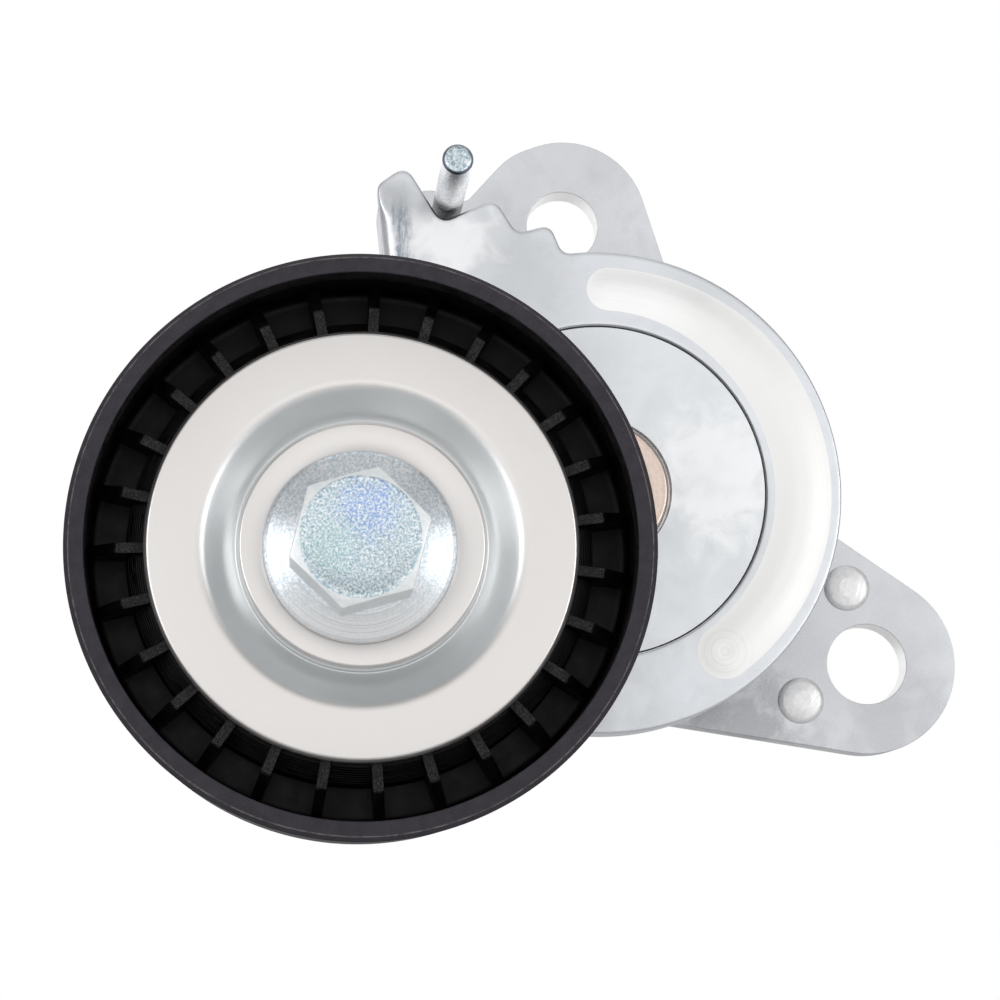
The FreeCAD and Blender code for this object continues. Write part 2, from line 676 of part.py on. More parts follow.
def ring_section(inner, outer):
    edge = size.ring_edge
    rear, front = size.bearing_rear, size.bearing_front
    return [(inner, rear + edge), (inner + edge, rear), (outer - edge, rear), (outer, rear + edge),
            (outer, front - edge), (outer - edge, front), (inner + edge, front),
            (inner, front - edge)]


def make_bearing_rings():
    middle = (size.bearing_front + size.bearing_rear) / 2
    for label, inner, outer in (
            ("bearing_outer_ring", size.outer_land_r, size.bearing_r),
            ("bearing_inner_ring", size.bearing_bore_r, size.inner_land_r)):
        body = new_body(label, on_pulley_axis=True)
        spin(body, label + "_turned", ring_section(inner, outer))
        spin_cut(body, label + "_raceway", size.ball_circle_r, middle, size.ball_r + size.ball_gap)


def on_ball_circle(index):
    """Angle and place of one ball in the bearing."""
    angle = as_dim(index) * FULL_TURN / size.ball_count
    x = size.pulley_x + size.ball_circle_r * cosine(angle)
    z = size.pulley_z + size.ball_circle_r * sine(angle)
    return angle, x, z


def make_balls_and_cage():
    middle = (size.bearing_front + size.bearing_rear) / 2
    rear, front = middle - size.cage_wide / 2, middle + size.cage_wide / 2
    balls, pockets = [], []
    for index in range(int(size.ball_count.value)):
        angle, x, z = on_ball_circle(index)
        ball = document.addObject("Part::Sphere", "ball_%d" % (index + 1))
        balls.append(bound(ball, Radius=size.ball_r, Placement__Base__x=x,
                           Placement__Base__y=-middle, Placement__Base__z=z))
        # each pocket is drilled along the cage's own radius
        hole = document.addObject("Part::Cylinder", "pocket_%d" % (index + 1))
        outward = Vector(math.cos(math.radians(angle.value)), 0, math.sin(math.radians(angle.value)))
        hole.Placement.Rotation = Rotation(Vector(0, 0, 1), outward)
        half = size.cage_outer_r - size.cage_inner_r
        pockets.append(bound(hole, Radius=size.ball_r + size.ball_gap, Height=half * 2,
                             Placement__Base__x=x - half * cosine(angle),
                             Placement__Base__y=-middle, Placement__Base__z=z - half * sine(angle)))
    group("bearing_balls", balls)

    outside = rod("cage_outside", size.cage_outer_r, rear, front, size.pulley_x, size.pulley_z)
    inside = rod("cage_inside", size.cage_inner_r, rear, front, size.pulley_x, size.pulley_z)
    blank = document.addObject("Part::Cut", "cage_blank")
    blank.Base = outside
    blank.Tool = inside
    drills = document.addObject("Part::MultiFuse", "cage_pockets")
    drills.Shapes = pockets
    cage = document.addObject("Part::Cut", "ball_cage")
    cage.Base = blank
    cage.Tool = drills
    nodes.append(cage)


def make_seals():
    inner = size.inner_land_r + size.seal_gap
    faces = {"front_seal": size.bearing_front - size.seal_inset - size.seal_thick,
             "rear_seal": size.bearing_rear + size.seal_inset}
    for label, rear in faces.items():
        spun_body(label, [
            (inner, rear), (size.outer_land_r, rear),
            (size.outer_land_r, rear + size.seal_thick), (inner, rear + size.seal_thick),
        ], on_pulley_axis=True)


def make_spacer_sleeve():
    flange_front = size.cap_front - size.sheet
    spun_body("spacer_sleeve", [
        (size.sleeve_bore_r, size.bearing_rear), (size.bearing_bore_r, size.bearing_rear),
        (size.bearing_bore_r, size.bearing_front), (size.sleeve_flange_r, size.bearing_front),
        (size.sleeve_flange_r, flange_front), (size.sleeve_bore_r, flange_front),
    ], on_pulley_axis=True)


def sheet_section(front_points, thickness):
    """A pressed sheet: its front line, and the same line moved back by the thickness."""
    rear_points = [(radius, depth - thickness) for radius, depth in reversed(front_points)]
    return front_points + rear_points


def make_dust_shield():
    front = size.cap_front
    groove = size.cap_groove_front
    half = size.cap_bead_r - size.cap_groove_r
    spun_body("dust_shield", sheet_section([
        (size.sleeve_bore_r, front), (size.cap_hub_r - 0.4, front), (size.cap_hub_r, front - 0.4),
        (size.cap_groove_r - half / 2, groove + 0.2), (size.cap_groove_r, groove),
        (size.cap_groove_r + half / 2, groove + 0.35), (size.cap_bead_r - 0.4, front - 0.25),
        (size.cap_bead_r, front), (size.cap_bead_r + 0.8, front - 0.15),
        (size.cap_r - 0.6, front - 0.3), (size.cap_r, front - 0.8),
    ], size.sheet), on_pulley_axis=True)


def make_rear_shield():
    front = size.bearing_rear
    dished = front - size.rear_dish
    spun_body("rear_shield", sheet_section([
        (size.sleeve_bore_r, front), (size.inner_land_r - 0.3, front),
        (size.inner_land_r + 1.0, dished), (size.rear_shield_r, dished),
    ], size.rear_sheet), on_pulley_axis=True)


def make_pulley_bolt():
    seat = size.cap_front
    edge = seat + size.bolt_flange_edge
    cone_top = edge + size.bolt_cone_tall
    shaft = new_body("bolt_shaft", on_pulley_axis=True)
    nodes.remove(shaft)
    spin(shaft, "bolt_turned", [
        (0, size.bolt_end), (size.bolt_r - size.hex_chamfer, size.bolt_end),
        (size.bolt_r, size.bolt_end + size.hex_chamfer), (size.bolt_r, seat - 0.05),
        (size.bolt_r, seat), (size.bolt_flange_r, seat), (size.bolt_flange_r, edge),
        (size.bolt_cone_r, cone_top), (0, cone_top),
    ])
    prism = document.addObject("Part::Prism", "bolt_hex_bar")
    prism.Polygon = 6
    upright = Rotation(Vector(1, 0, 0), 90)
    prism.Placement.Rotation = upright.multiply(Rotation(Vector(0, 0, 1), size.hex_turn.value))
    bound(prism, Circumradius=size.hex_across / 2 / cosine(30), Height=size.hex_front - edge,
          Placement__Base__x=size.pulley_x, Placement__Base__y=-edge, Placement__Base__z=size.pulley_z)
    cone = document.addObject("Part::Cone", "bolt_hex_turning")
    cone.Placement.Rotation = upright
    widening = (size.hex_front - edge) * 1.5
    bound(cone, Radius1=size.hex_across / 2 - 0.25 + widening, Radius2=size.hex_across / 2 - 0.25,
          Height=size.hex_front - edge, Placement__Base__x=size.pulley_x,
          Placement__Base__y=-edge, Placement__Base__z=size.pulley_z)
    head = document.addObject("Part::MultiCommon", "bolt_hex_head")
    head.Shapes = [prism, cone]
    group("pulley_bolt", [shaft, head], kind="Part::MultiFuse")


def make_lock_pin():
    body = new_body("lock_pin")
    body.setExpression("Placement.Base.x", size.pin_x.text)
    body.setExpression("Placement.Base.z", size.pin_z.text)
    spin(body, "pin_turned", [
        (0, 0), (size.pin_r - size.pin_chamfer, 0), (size.pin_r, size.pin_chamfer),
        (size.pin_r, size.pin_front - size.pin_chamfer),
        (size.pin_r - size.pin_chamfer, size.pin_front), (0, size.pin_front),
    ])


def write_parts():
    document.recompute()
    for item in document.Objects:
        if "Invalid" in item.State or "Error" in item.State:
            raise RuntimeError("%s is %s" % (item.Label, item.State))
    os.makedirs("parts", exist_ok=True)
    for node in nodes:
        shape = node.Shape
        if shape.isNull() or not shape.isValid() or not shape.Solids:
            raise RuntimeError("%s has no sound shape" % node.Label)
        shape.exportStep("parts/%s.step" % node.Label)
        box = shape.BoundBox
        print("%-20s %d solid  %9.1f mm3  x %.1f..%.1f  y %.1f..%.1f  z %.1f..%.1f" % (
            node.Label, len(shape.Solids), shape.Volume,
            box.XMin, box.XMax, box.YMin, box.YMax, box.ZMin, box.ZMax))


make_base_bracket()
make_pivot_shaft()
make_spring_case()
make_retaining_plate()
make_friction_washer()
make_damping_sleeve()
make_torsion_spring()
make_spring_anchor()
make_locating_dowels()
make_stop_peg()
make_tension_arm()
make_pivot_bush()
make_spring_driver()
make_thread_boss()
make_pulley_body()
make_bearing_rings()
make_balls_and_cage()
make_seals()
make_spacer_sleeve()
make_dust_shield()
make_rear_shield()
make_pulley_bolt()
make_lock_pin()
write_parts()
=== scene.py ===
"""Looks of the belt tensioner idler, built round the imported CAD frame.

Lengths are in millimetres and are turned into metres where an object is made. Angles are in degrees.
A depth is a distance in front of the mounting face, towards -Y.
"""
import math

import bmesh
import bpy
from mathutils import Matrix, Vector


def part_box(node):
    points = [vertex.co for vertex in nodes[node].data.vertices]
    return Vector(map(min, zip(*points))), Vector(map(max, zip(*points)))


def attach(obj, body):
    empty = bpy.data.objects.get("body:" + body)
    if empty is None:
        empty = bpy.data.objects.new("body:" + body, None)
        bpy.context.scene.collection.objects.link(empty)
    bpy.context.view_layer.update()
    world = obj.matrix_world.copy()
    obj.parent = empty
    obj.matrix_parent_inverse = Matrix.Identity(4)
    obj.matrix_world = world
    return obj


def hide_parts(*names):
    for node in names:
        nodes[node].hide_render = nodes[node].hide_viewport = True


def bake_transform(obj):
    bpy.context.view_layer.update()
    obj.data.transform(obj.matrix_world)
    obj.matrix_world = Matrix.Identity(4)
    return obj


MM = 0.001

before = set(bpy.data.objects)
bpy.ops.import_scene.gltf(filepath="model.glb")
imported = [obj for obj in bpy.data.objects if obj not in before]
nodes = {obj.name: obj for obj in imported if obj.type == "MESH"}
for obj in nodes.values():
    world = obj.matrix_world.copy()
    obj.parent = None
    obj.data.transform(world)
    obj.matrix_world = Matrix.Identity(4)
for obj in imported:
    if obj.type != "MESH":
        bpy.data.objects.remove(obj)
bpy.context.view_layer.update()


def corners_mm(node):
    """The low and the high corner of a CAD node's box."""
    low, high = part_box(node)
    return low / MM, high / MM


pulley_low, pulley_high = corners_mm("pulley_body")
PULLEY_X = (pulley_low.x + pulley_high.x) / 2
PULLEY_Z = (pulley_low.z + pulley_high.z) / 2


# ---------------------------------------------------------------- sizes of the studio

CAMERA_PLACE = (-38.44, -354.38, -55.72)
CAMERA_RIGHT = (0.9969, -0.0787, 0.0)
CAMERA_FORWARD = (0.0777, 0.9838, 0.1615)
SENSOR_WIDTH, LENS = 36.0, 99.0
CLIP_NEAR, CLIP_FAR = 10, 50000
FLOOR_HALF, FLOOR_LEVEL = 400, -78

# each soft box: its name, its place, the point it faces, its width and height, and its watts
SOFT_BOXES = (("left_box", (-500, -560, 30), (-20, -30, 0), 260, 320, 0.9),
              ("right_box", (470, -560, 30), (-20, -30, 0), 260, 320, 0.9),
              ("top_box", (0, -160, 480), (0, -20, 0), 500, 300, 0.3))

# how bright the studio is along its axis, from behind the object (-1) to in front of it (+1)
WORLD_STRENGTH = 1.3
STUDIO_AXIS = (0.0, -1.0, -0.15)
STUDIO = ((-1.0, 1.0), (-0.82, 1.0), (-0.60, 0.50), (0.0, 0.42),
          (0.30, 0.36), (0.72, 0.36), (0.90, 1.02), (1.0, 1.27))


# ---------------------------------------------------------------- sizes of the pieces

# Sections and outlines are lists of corners: two coordinates, and how far the corner is rounded.
# A section is turned about an axis: its coordinates are a radius and a depth.

# dust cap
CAP_BORE, CAP_HUB_R, CAP_SHEET = 5.1, 13.75, 0.9
CREST_R, CREST_ROUND = 18.95, 2.7
GROOVE_FOOT_R = 14.35
GROOVE_SLOPES = (31, 31, 30, 29, 28, 27, 26, 25)        # from the crest down to the foot

# flange bolt: the forged head sits a little off the pulley's axis
FLANGE_AT = (PULLEY_X - 0.30, PULLEY_Z - 0.40)
FLANGE_SEAT = 48.6
HEX_AT = (PULLEY_X - 0.50, PULLEY_Z - 0.65)
HEX_TURN = 16.0
HEX_FLAT, HEX_FACE = 7.0, 6.7                           # half across the flats, radius of the flat face
HEX_CHAMFER = 0.38
HEX_FOOT = ((0.02, 1.3), (0.0, 2.2))                    # inset of the sides, depth above the seat
HEX_TOP = ((HEX_FACE, 0.0), (6.2, 0.0), (5.9, 0.10), (3.0, 0.12))       # radius, depth below the crown

# riveted dowels
DOWEL_HEAD_R = 3.0
DOWEL_SECTION = ((0, -3.0, 0), (2.2, -3.0, 0.1), (2.5, -2.7, 0.1), (2.5, 0, 0), (1.6, 0, 0), (1.6, 4.5, 0),
                 (2.75, 4.48, 0.1), (DOWEL_HEAD_R, 4.65, 0.2), (DOWEL_HEAD_R - 0.45, 5.15, 0.8),
                 (1.2, 5.38, 1.0), (0, 5.4, 0))

# arm
ARM_FRONT, ARM_BACK = 24.0, 21.4
EDGE_ROUND = 0.3
DISC_R, DISC_ARC = 29.95, (-109.3, 94)
END_R, END_ARC = 15.0, (134.8, 264.96)                  # the round end, about the pulley's axis
RECESS_R, BOLT_HOLE_R = 20.57, 5.0
TAB_CORNERS = ((-4.55, 29.6, 2.5), (-6.11, 33.3, 1.5), (-10.28, 32.12, 1.7), (-13.0, 36.5, 1.8),
               (-19.65, 33.35, 1.7), (-24.1, 40.6, 1.8))
FOLD_TOP, FOLD_LOW = (-27.65, 37.9), (-24.9, 12.0)      # two points of the tab's folded edge
FOLD_SLOPE = (FOLD_LOW[0] - FOLD_TOP[0]) / (FOLD_TOP[1] - FOLD_LOW[1])
FOLD_END = 15.05                                        # where the folded edge meets the round end
FOLD_ROUND = 1.2
BEND_LOW, BEND_HIGH = (17, 20), (36.2, 33.0)            # where the fold's wide bend sets in and dies out
FOLD_WALL, FOLD_WALL_FRONT, FOLD_WALL_BACK = 2.2, 22.4, 14.0
SKIRT_SECTION = ((DISC_R - 1.4, 18.6, 0.15), (DISC_R - 0.01, 18.6, 0.15), (DISC_R - 0.01, 22.0, 0),
                 (DISC_R - 1.4, 22.0, 0))
HUB_SECTION = ((9.6, 21.0, 0), (20.5, 21.0, 0), (20.5, 22.9, 0), (22.5, 22.9, 0), (23.4, 21.8, 0.5),
               (23.4, 18.4, 1.2), (12.1, 18.4, 0.6), (12.1, 8.5, 0.2), (9.6, 8.5, 0.2))

# milled track: the angles of its lower and upper end, and its middle radius and half width at the upper end
TRACK_START, TRACK_END = -52.6, 87.4
TRACK_R, TRACK_HALF = 25.25, 3.1
TRACK_FULL, TRACK_CLOSING = 30.0, -10.0                 # it widens down to one, and narrows from the other
TRACK_STEPS, TRACK_ROWS = 140, 16
TRACK_RISE, TRACK_SUNK = 0.20, 0.3
DIMPLE_DEEP, DIMPLE_R = 0.05, 1.6
TRACK_MARKS_R = 24.95                                   # circle of the points that its marks are centred on

# pulley
RIB_COUNT, RIB_PHASE, RIB_HALF = 27, 7.6, 0.62
FRONT_RIB = ((22.5, 46.6), (27.6, 46.6), (31.35, 43.2), (31.35, 37.5), (22.5, 37.5))
REAR_RIB = ((24.7, 37.5), (31.35, 37.5), (31.35, 31.5), (24.7, 32.5))
RIM_FRONT = 50.0
SEAT_BORE, SHOULDER_BORE = 20.0, 18.9                   # the bearing's seat and the smaller bores beside it
COLLAR_R, COLLAR_FRONT = 24.9, 45.2
STAIR_COUNT, STAIR_WIDE, STAIR_DEEP = 7, 0.24, 0.32     # the fine steps from the collar down to the web
RIM_SECTION = ((26.7, 39.8, 0.3), (31.05, 39.8, 1.1), (31.05, RIM_FRONT, 0.22), (32.72, RIM_FRONT, 0.15),
               (33.3, 49.45, 0.2), (32.85, 31.0, 0.4), (31.85, 30.0, 0.4), (31.05, 30.0, 0.2),
               (31.05, 37.2, 0.6), (25.0, 37.2, 0.6), (25.0, 31.0, 0.2), (SHOULDER_BORE, 31.0, 0.2),
               (SHOULDER_BORE, 32.0, 0))

# CAD nodes that are shown as they are, with their sharp edges rounded by this much
SOFTENED = (("base_bracket", 0.35), ("retaining_plate", 0.07), ("pivot_shaft", 0.1))


# ---------------------------------------------------------------- places of marks in the materials

# A pair of numbers is where a mark starts to show and where it shows in full.
BRACKET_FRONT = 4.5
STAIN_DEPTH = (0.5, 1.5)
STREAK_INNER, STREAK_OUTER = (1.3, 1.9), (4.2, 2.7)     # across, measured from the folded edge
STREAK_TOP = (37.0, 34.0)
GROOVE_INNER, GROOVE_OUTER = (13.8, 14.2), (18.6, 17.6)
WORN_HIGHLIGHT_R = 32.74
# where the lock pin's shank is painted black as shade in the arm's notch
NOTCH_SHADE_REAR, NOTCH_SHADE_FRONT = (18.0, 20.5), (26.6, 24.6)
# where the flange's lower side is whitened as painted light
FLANGE_LOWER_LIGHT = (FLANGE_AT[1] - 3.0, FLANGE_AT[1] - 9.0)

# stains in the plating, and patches of painted shade: x, z, reach, and how much brighter or, below zero,
# darker
# the dark patch at (20.5, -27.5) is painted shade under the disc's lower edge
BRACKET_STAINS_AND_SHADE = ((-6, 45, 9, 0.12), (8, 41, 6, 0.15), (-9, 31, 9, -0.10), (20.5, -27.5, 10, -0.7),
                  (34, -19, 22, -0.2), (40, -26, 9, -0.25))
PLATE_STAINS = ((14, 2, 12, 0.5), (-2, 17, 8, -0.12))
ARM_STAINS = ((-9, 27, 9, -0.24), (-19, 31.5, 8, 0.75), (-25, 36.0, 3.5, -0.45), (-21.5, 35.2, 2.8, -0.5))

# bores whose wall gets a painted highlight, in white: x, z and radius
BORE_HIGHLIGHTS = ((-2.6, 38.3, 4.7), (36.8, -19.2, 5.2))

# blue and green tints on the hexagon's face: x and z from the pulley's axis, reach, colour, strength
HEX_TINTS = ((0.3, 2.6, 4.6, (0.26, 0.40, 0.78), 0.85), (-3.6, -1.8, 4.2, (0.36, 0.60, 0.60), 0.6))

WHITE = (1.0, 1.0, 1.0)
NOISE_LOW, NOISE_HIGH = 0.3, 0.7                        # the range that most of a noise lies in


# ---------------------------------------------------------------- camera, light and floor

def make_camera():
    """The camera. Its own axes are given as directions in the frame."""
    camera = bpy.data.objects.new("camera", bpy.data.cameras.new("camera"))
    right = Vector(CAMERA_RIGHT).normalized()
    forward = Vector(CAMERA_FORWARD).normalized()
    up = right.cross(forward).normalized()
    turn = Matrix((right, up, -forward)).transposed().to_4x4()
    camera.matrix_world = Matrix.Translation(Vector(CAMERA_PLACE) * MM) @ turn
    camera.data.sensor_width = SENSOR_WIDTH
    camera.data.lens = LENS
    camera.data.clip_start = CLIP_NEAR * MM
    camera.data.clip_end = CLIP_FAR * MM
    bpy.context.scene.collection.objects.link(camera)
    bpy.context.scene.camera = camera


def soft_box(name, place, target, wide, tall, watts):
    """A rectangular light that faces a target."""
    light = bpy.data.lights.new(name, "AREA")
    light.shape = "RECTANGLE"
    light.size, light.size_y = wide * MM, tall * MM
    light.energy = watts
    thing = bpy.data.objects.new(name, light)
    bpy.context.scene.collection.objects.link(thing)
    place, target = Vector(place) * MM, Vector(target) * MM
    turn = (target - place).to_track_quat("-Z", "Y").to_matrix().to_4x4()
    thing.matrix_world = Matrix.Translation(place) @ turn


def set_stops(ramp, stops):
    """Gives a colour ramp its stops, each a place and a colour."""
    while len(ramp.elements) < len(stops):
        ramp.elements.new(0.5)
    for element, (place, colour) in zip(ramp.elements, stops):
        element.position = place
        element.color = (*colour, 1.0)


def make_world():
    """The white studio, whose brightness changes only with the angle to its axis."""
    world = bpy.data.worlds.new("studio")
    world.use_nodes = True
    tree = world.node_tree
    tree.nodes.clear()
    out = tree.nodes.new("ShaderNodeOutputWorld")
    back = tree.nodes.new("ShaderNodeBackground")
    back.inputs["Strength"].default_value = WORLD_STRENGTH
    coords = tree.nodes.new("ShaderNodeTexCoord")
    facing = tree.nodes.new("ShaderNodeVectorMath")
    facing.operation = "DOT_PRODUCT"
    facing.inputs[1].default_value = Vector(STUDIO_AXIS).normalized()
    share = tree.nodes.new("ShaderNodeMapRange")
    share.inputs["From Min"].default_value = -1.0
    ramp = tree.nodes.new("ShaderNodeValToRGB")
    set_stops(ramp.color_ramp, [((place + 1) / 2, (level / WORLD_STRENGTH,) * 3) for place, level in STUDIO])
    ramp.color_ramp.interpolation = "EASE"
    tree.links.new(coords.outputs["Generated"], facing.inputs[0])
    tree.links.new(facing.outputs["Value"], share.inputs["Value"])
    tree.links.new(share.outputs["Result"], ramp.inputs["Fac"])
    tree.links.new(ramp.outputs["Color"], back.inputs["Color"])
    tree.links.new(back.outputs["Background"], out.inputs["Surface"])
    bpy.context.scene.world = world


def make_floor(paint):
    """A plain square under the object."""
    mesh = bpy.data.meshes.new("floor")
    half, level = FLOOR_HALF * MM, FLOOR_LEVEL * MM
    corners = [(-half, -half, level), (half, -half, level), (half, half, level), (-half, half, level)]
    mesh.from_pydata(corners, [], [(0, 1, 2, 3)])
    mesh.materials.append(paint)
    floor = bpy.data.objects.new("floor", mesh)
    bpy.context.scene.collection.objects.link(floor)


# ---------------------------------------------------------------- materials

class Nodes:
    """A material's node tree, with short calls for the textures it is built from."""

    def __init__(self, name, **values):
        """Starts with one shader. The values are its inputs, with _ for a space."""
        self.material = bpy.data.materials.new(name)
        self.material.use_nodes = True
        self.tree = self.material.node_tree
        self.tree.nodes.clear()
        self.shader = self.add("ShaderNodeBsdfPrincipled")
        for label, value in values.items():
            self.shader.inputs[label.replace("_", " ")].default_value = value
        out = self.add("ShaderNodeOutputMaterial")
        self.link(self.shader.outputs["BSDF"], out.inputs["Surface"])
        coords = self.add("ShaderNodeTexCoord")
        scale = self.add("ShaderNodeVectorMath")
        scale.operation = "SCALE"
        scale.inputs["Scale"].default_value = 1 / MM
        self.link(coords.outputs["Object"], scale.inputs[0])
        self.mm = scale.outputs["Vector"]
        self.bump_out = None

    def add(self, kind):
        """A new node."""
        return self.tree.nodes.new(kind)

    def link(self, source, target):
        """Joins an output to an input."""
        self.tree.links.new(source, target)

    def feed(self, socket, value):
        """Gives an input a number, a colour, or another node's output."""
        if isinstance(value, (int, float)):
            socket.default_value = value
        elif isinstance(value, tuple):
            socket.default_value = (*value, 1.0)
        else:
            self.link(value, socket)

    def moved(self, offset, stretch):
        """Coordinates in mm, measured from a point and scaled per axis."""
        mapping = self.add("ShaderNodeMapping")
        mapping.vector_type = "TEXTURE"
        mapping.inputs["Location"].default_value = offset
        mapping.inputs["Scale"].default_value = stretch
        self.link(self.mm, mapping.inputs["Vector"])
        return mapping.outputs["Vector"]

    def axis(self, letter):
        """One coordinate in mm."""
        node = self.add("ShaderNodeSeparateXYZ")
        self.link(self.mm, node.inputs["Vector"])
        return node.outputs[letter]

    def depth(self):
        """Distance in mm in front of the mounting face."""
        return self.maths("MULTIPLY", self.axis("Y"), -1.0)

    def along(self, value):
        """Coordinates that change only with one value."""
        node = self.add("ShaderNodeCombineXYZ")
        self.link(value, node.inputs["X"])
        return node.outputs["Vector"]

    def radius(self, x=0.0, z=0.0):
        """Distance in mm from an axis along Y."""
        node = self.add("ShaderNodeVectorMath")
        node.operation = "LENGTH"
        self.link(self.moved((x, 0, z), (1, 1e6, 1)), node.inputs[0])
        return node.outputs["Value"]

    def around(self, x=0.0, z=0.0):
        """Coordinates that change only with the distance from an axis, for turned rings."""
        return self.along(self.radius(x, z))

    def noise(self, grain, detail=3.0, rough=0.55, at=None, distort=0.0):
        """Noise whose grains are about that many mm across."""
        node = self.add("ShaderNodeTexNoise")
        node.inputs["Scale"].default_value = 1 / grain
        node.inputs["Detail"].default_value = detail
        node.inputs["Roughness"].default_value = rough
        node.inputs["Distortion"].default_value = distort
        self.link(at or self.mm, node.inputs["Vector"])
        return node.outputs["Fac"]

    def maths(self, operation, first, second):
        """One sum on two values."""
        node = self.add("ShaderNodeMath")
        node.operation = operation
        self.feed(node.inputs[0], first)
        self.feed(node.inputs[1], second)
        return node.outputs["Value"]

    def times(self, first, second):
        """The product of two values."""
        return self.maths("MULTIPLY", first, second)

    def fit(self, value, low, high, to_low=0.0, to_high=1.0):
        """Maps low to high smoothly onto another range, and stops at its ends."""
        node = self.add("ShaderNodeMapRange")
        node.interpolation_type = "SMOOTHSTEP"
        for name, number in (("From Min", low), ("From Max", high), ("To Min", to_low), ("To Max", to_high)):
            node.inputs[name].default_value = number
        self.link(value, node.inputs["Value"])
        return node.outputs["Result"]

    def spread(self, noise, to_low=0.0, to_high=1.0):
        """Maps the usual range of a noise smoothly onto another range."""
        return self.fit(noise, NOISE_LOW, NOISE_HIGH, to_low, to_high)

    def ramp(self, value, stops):
        """A colour ramp over a value."""
        node = self.add("ShaderNodeValToRGB")
        set_stops(node.color_ramp, stops)
        self.link(value, node.inputs["Fac"])
        return node.outputs["Color"]

    def mix(self, share, first, second):
        """The first colour where the share is 0, the second where it is 1."""
        node = self.add("ShaderNodeMix")
        node.data_type = "RGBA"
        self.feed(node.inputs["Factor"], share)
        self.feed(node.inputs[6], first)
        self.feed(node.inputs[7], second)
        return node.outputs[2]

    def colour(self, value):
        """Sets the surface's colour."""
        self.link(value, self.shader.inputs["Base Color"])

    def roughness(self, value):
        """Sets the surface's roughness."""
        self.link(value, self.shader.inputs["Roughness"])

    def bump(self, value, height):
        """Adds a bump of about that height in mm to the ones before it."""
        node = self.add("ShaderNodeBump")
        node.inputs["Strength"].default_value = 1.0
        node.inputs["Distance"].default_value = height * MM
        self.link(value, node.inputs["Height"])
        if self.bump_out is not None:
            self.link(self.bump_out, node.inputs["Normal"])
        self.bump_out = node.outputs["Normal"]
        self.link(self.bump_out, self.shader.inputs["Normal"])


def scaled(colour, factor):
    """A brighter or darker colour, never above white."""
    return tuple(min(1.0, part * factor) for part in colour)


def add_stains_and_shade(m, colour, tone, stains_and_shade, wisps):
    """Ragged stains, and patches of painted shade, on the front faces. They fade out towards the back of the
    plate.
    """
    for x, z, reach, strength in stains_and_shade:
        ragged = m.maths("ADD", m.radius(x, z), m.spread(wisps, -0.3 * reach, 0.3 * reach))
        share = m.fit(ragged, reach, 0.2 * reach, 0.0, abs(strength))
        share = m.times(share, m.fit(m.depth(), *STAIN_DEPTH))
        colour = m.mix(share, colour, scaled(tone, 1.45 if strength > 0 else 0.45))
    return colour


def add_fold_streak(m, colour, fine):
    """The scratched dark streak beside the tab's folded edge."""
    line = m.add("ShaderNodeVectorMath")
    line.operation = "DOT_PRODUCT"
    line.inputs[1].default_value = (1.0, 0.0, FOLD_SLOPE)
    m.link(m.mm, line.inputs[0])
    inside = m.maths("SUBTRACT", line.outputs["Value"], FOLD_TOP[0] + FOLD_TOP[1] * FOLD_SLOPE)
    inside = m.maths("ADD", inside, m.spread(fine, -0.2, 0.2))
    band = m.times(m.fit(inside, *STREAK_INNER), m.fit(inside, *STREAK_OUTER))
    band = m.times(band, m.fit(m.axis("Z"), *STREAK_TOP))
    scratches = m.noise(0.5, detail=4.0, rough=0.7, at=m.moved((0, 0, 0), (1, 1, 7)))
    band = m.times(band, m.fit(scratches, 0.40, 0.60, 0.25, 0.9))
    return m.mix(band, colour, (0.24, 0.28, 0.33))


def add_bore_highlights(m, colour, highlighted_bores):
    """Painted highlights, in white, on the walls of the bracket's bores, behind their front edge."""
    for x, z, reach in highlighted_bores:
        wall = m.fit(m.radius(x, z), reach + 0.3, reach + 0.15)
        wall = m.times(wall, m.fit(m.depth(), BRACKET_FRONT - 0.05, BRACKET_FRONT - 0.2))
        # the bore's wall is painted white as a highlight
        colour = m.mix(wall, colour, WHITE)
    return colour


def plated_steel(name, tone, cloud, stains_and_shade, fold=False, highlighted_bores=()):
    """Zinc plating: softly clouded, with a fine frosty grain, a few stains, patches of painted shade and
    painted highlights in some bores.
    """
    m = Nodes(name, Metallic=1.0)
    clouds = m.noise(16.0, rough=0.5)
    wisps = m.noise(4.0, detail=5.0, rough=0.6, distort=0.5)
    grain = m.noise(0.25, detail=2.0)
    fine = m.noise(0.9, detail=4.0, rough=0.7)
    colour = m.mix(m.spread(clouds), scaled(tone, 1 - cloud), scaled(tone, 1 + cloud))
    colour = m.mix(m.fit(wisps, 0.50, 0.75, 0.0, 0.35), colour, scaled(tone, 1 - 1.2 * cloud))
    colour = add_stains_and_shade(m, colour, tone, stains_and_shade, wisps)
    if fold:
        colour = add_fold_streak(m, colour, fine)
    colour = m.mix(m.fit(grain, 0.45, 0.75, 0.0, 0.15), colour, (0.90, 0.91, 0.93))
    m.colour(add_bore_highlights(m, colour, highlighted_bores))
    m.roughness(m.spread(wisps, 0.36, 0.44))
    m.bump(grain, 0.006)
    m.bump(clouds, 0.02)
    return m.material


